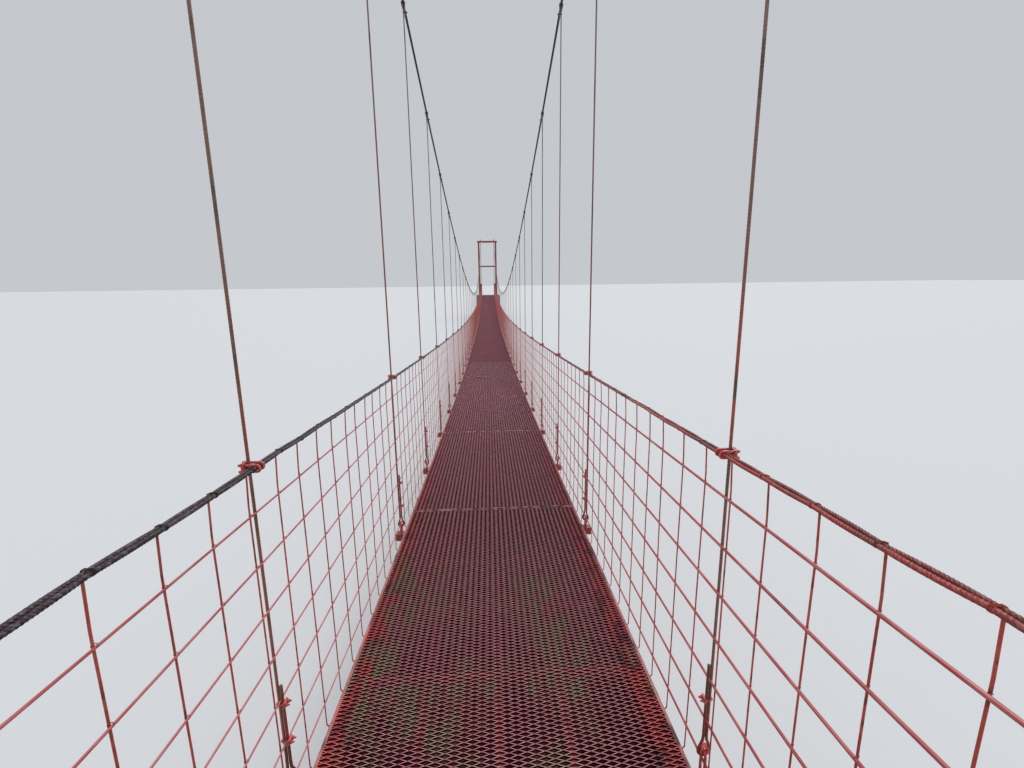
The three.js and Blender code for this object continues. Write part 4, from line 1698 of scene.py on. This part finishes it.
def boltMesh():
    radius = tower["boltRadius"]
    washerRadius, washerTop = tower["washer"]
    tipStart, tip = tower["boltTop"]
    profile = [(0, 0), (radius, 0), (radius, tipStart), (radius - tower["tipIn"], tip), (0, tip)]
    stub = lathed(profile, roundness["bolt"])
    nut = placed(nutMesh(tower["nutRadius"], tower["nutHeight"]), at(0, 0, tower["nutCentre"]))
    return joined([cylinder(washerRadius, 0, washerTop, roundness["washer"]), stub, nut])


def wireEndMesh():
    height = tower["wireNutHeight"]
    nut = placed(nutMesh(tower["wireNutRadius"], height), at(0, 0, height / 2))
    stubRadius, stubTop = tower["wireStub"]
    return joined([nut, cylinder(stubRadius, 0, stubTop, roundness["wireStub"])])


def addTowerDetails():
    bolt, wireEnd = boltMesh(), wireEndMesh()
    corners = ((1, 1), (-1, 1), (-1, -1), (1, -1))
    reach, half, plateTop = tower["boltReach"], tower["legHalf"], tower["plateTop"]
    railTop = deckTop + railHeight
    spots = [(sideWire["outerFace"] - tower["wireIn"], deckTop + above) for above in wireHeights]
    spots += [(rail["middle"] + a * tower["wireNutRadius"], railTop) for a in (-1, 1)]
    bolts, beads, wireEnds = [], [], []
    for endName, end in ends.items():
        x = end * towerX
        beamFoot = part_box(endName + "_top_beam")[0].z
        low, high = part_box(endName + "_middle_beam")
        beamCentre, beamHalf = (low + high) / 2, (high - low) / 2
        plateBack = end * (plateFace + tower["endPlateThickness"])
        turn = Matrix.Rotation(end * math.pi / 2, 4, "Y")
        for side in (-1, 1):
            legY, beamY = side * tower["legOffset"], side * beamHalf.y
            bolts += [(bolt, at(x + a * reach, legY + b * reach, plateTop)) for a, b in corners]
            for z in (plateTop, beamFoot):
                beads.append([(x + a * half, legY + b * half, z) for a, b in corners])
            beads.append([(x + a * beamHalf.x, beamY, beamCentre.z + b * beamHalf.z) for a, b in corners])
            wireEnds += [(wireEnd, at(plateBack, side * y, z) @ turn) for y, z in spots]
    addPiece("tower_bolts", joined(bolts), hardwareSteel)
    welds = barMesh(beads, tower["beadRadius"], roundness["weld"], loop=True)
    addPiece("tower_welds", welds, steelPaint)
    addPiece("wire_end_nuts", joined(wireEnds), hardwareSteel)


addTowerDetails()
print("tower details set")

# Floor, light and camera
floorLook = {"color": (0.62, 0.63, 0.64, 1), "roughness": 0.95, "halfSize": 150, "drop": 0.002}


def addFloor():
    bm = bmesh.new()
    bmesh.ops.create_grid(bm, x_segments=1, y_segments=1, size=floorLook["halfSize"])
    bmesh.ops.translate(bm, vec=(0, 0, -floorLook["drop"]), verts=bm.verts)
    floor = newObject("floor", meshOf(bm))
    material, tree, shader = newMaterial("paleFloor")
    finished(tree, shader, floorLook["color"], floorLook)
    floor.data.materials.append(material)


light = {
    "skyColor": (0.82, 0.85, 0.90, 1),
    "skyStrength": 0.68,
    "sunEnergy": 2.1,
    "sunAngle": 30,
    "sunTurn": (14, 36, 0),  # from ahead of the camera and high up
}


def addLights():
    world = bpy.data.worlds.new("softSky")
    bpy.context.scene.world = world
    world.use_nodes = True
    tree = world.node_tree
    setInputs(tree, tree.nodes["Background"], {0: light["skyColor"], 1: light["skyStrength"]})
    sun = newObject("softSun", bpy.data.lights.new("softSun", "SUN"))
    sun.data.energy = light["sunEnergy"]
    sun.data.angle = math.radians(light["sunAngle"])
    sun.rotation_euler = [math.radians(degrees) for degrees in light["sunTurn"]]


view = {
    "place": (-12.174, 0.004, 1.705),
    "yaw": -2.61,
    "pitch": 11.89,
    "roll": -0.72,
    "focalPixels": 492.8,
    "imageWidth": 1024,
    "sensorWidth": 36,
    "clipStart": 0.01,
    "clipEnd": 500,
}


def addCamera():
    camera = newObject("camera", bpy.data.cameras.new("camera"))
    camera.data.sensor_width = view["sensorWidth"]
    camera.data.lens = view["focalPixels"] / view["imageWidth"] * view["sensorWidth"]
    camera.data.clip_start = view["clipStart"]
    camera.data.clip_end = view["clipEnd"]
    yaw, pitch, roll = (math.radians(view[key]) for key in ("yaw", "pitch", "roll"))
    forward = Vector((math.cos(pitch) * math.cos(yaw), math.cos(pitch) * math.sin(yaw), -math.sin(pitch)))
    aim = forward.to_track_quat("-Z", "Y").to_matrix().to_4x4()
    camera.matrix_world = at(*view["place"]) @ aim @ Matrix.Rotation(roll, 4, "Z")
    bpy.context.scene.camera = camera


addFloor()
addLights()
addCamera()
bpy.context.scene.view_settings.view_transform = "Standard"
print("floor, light and camera set")
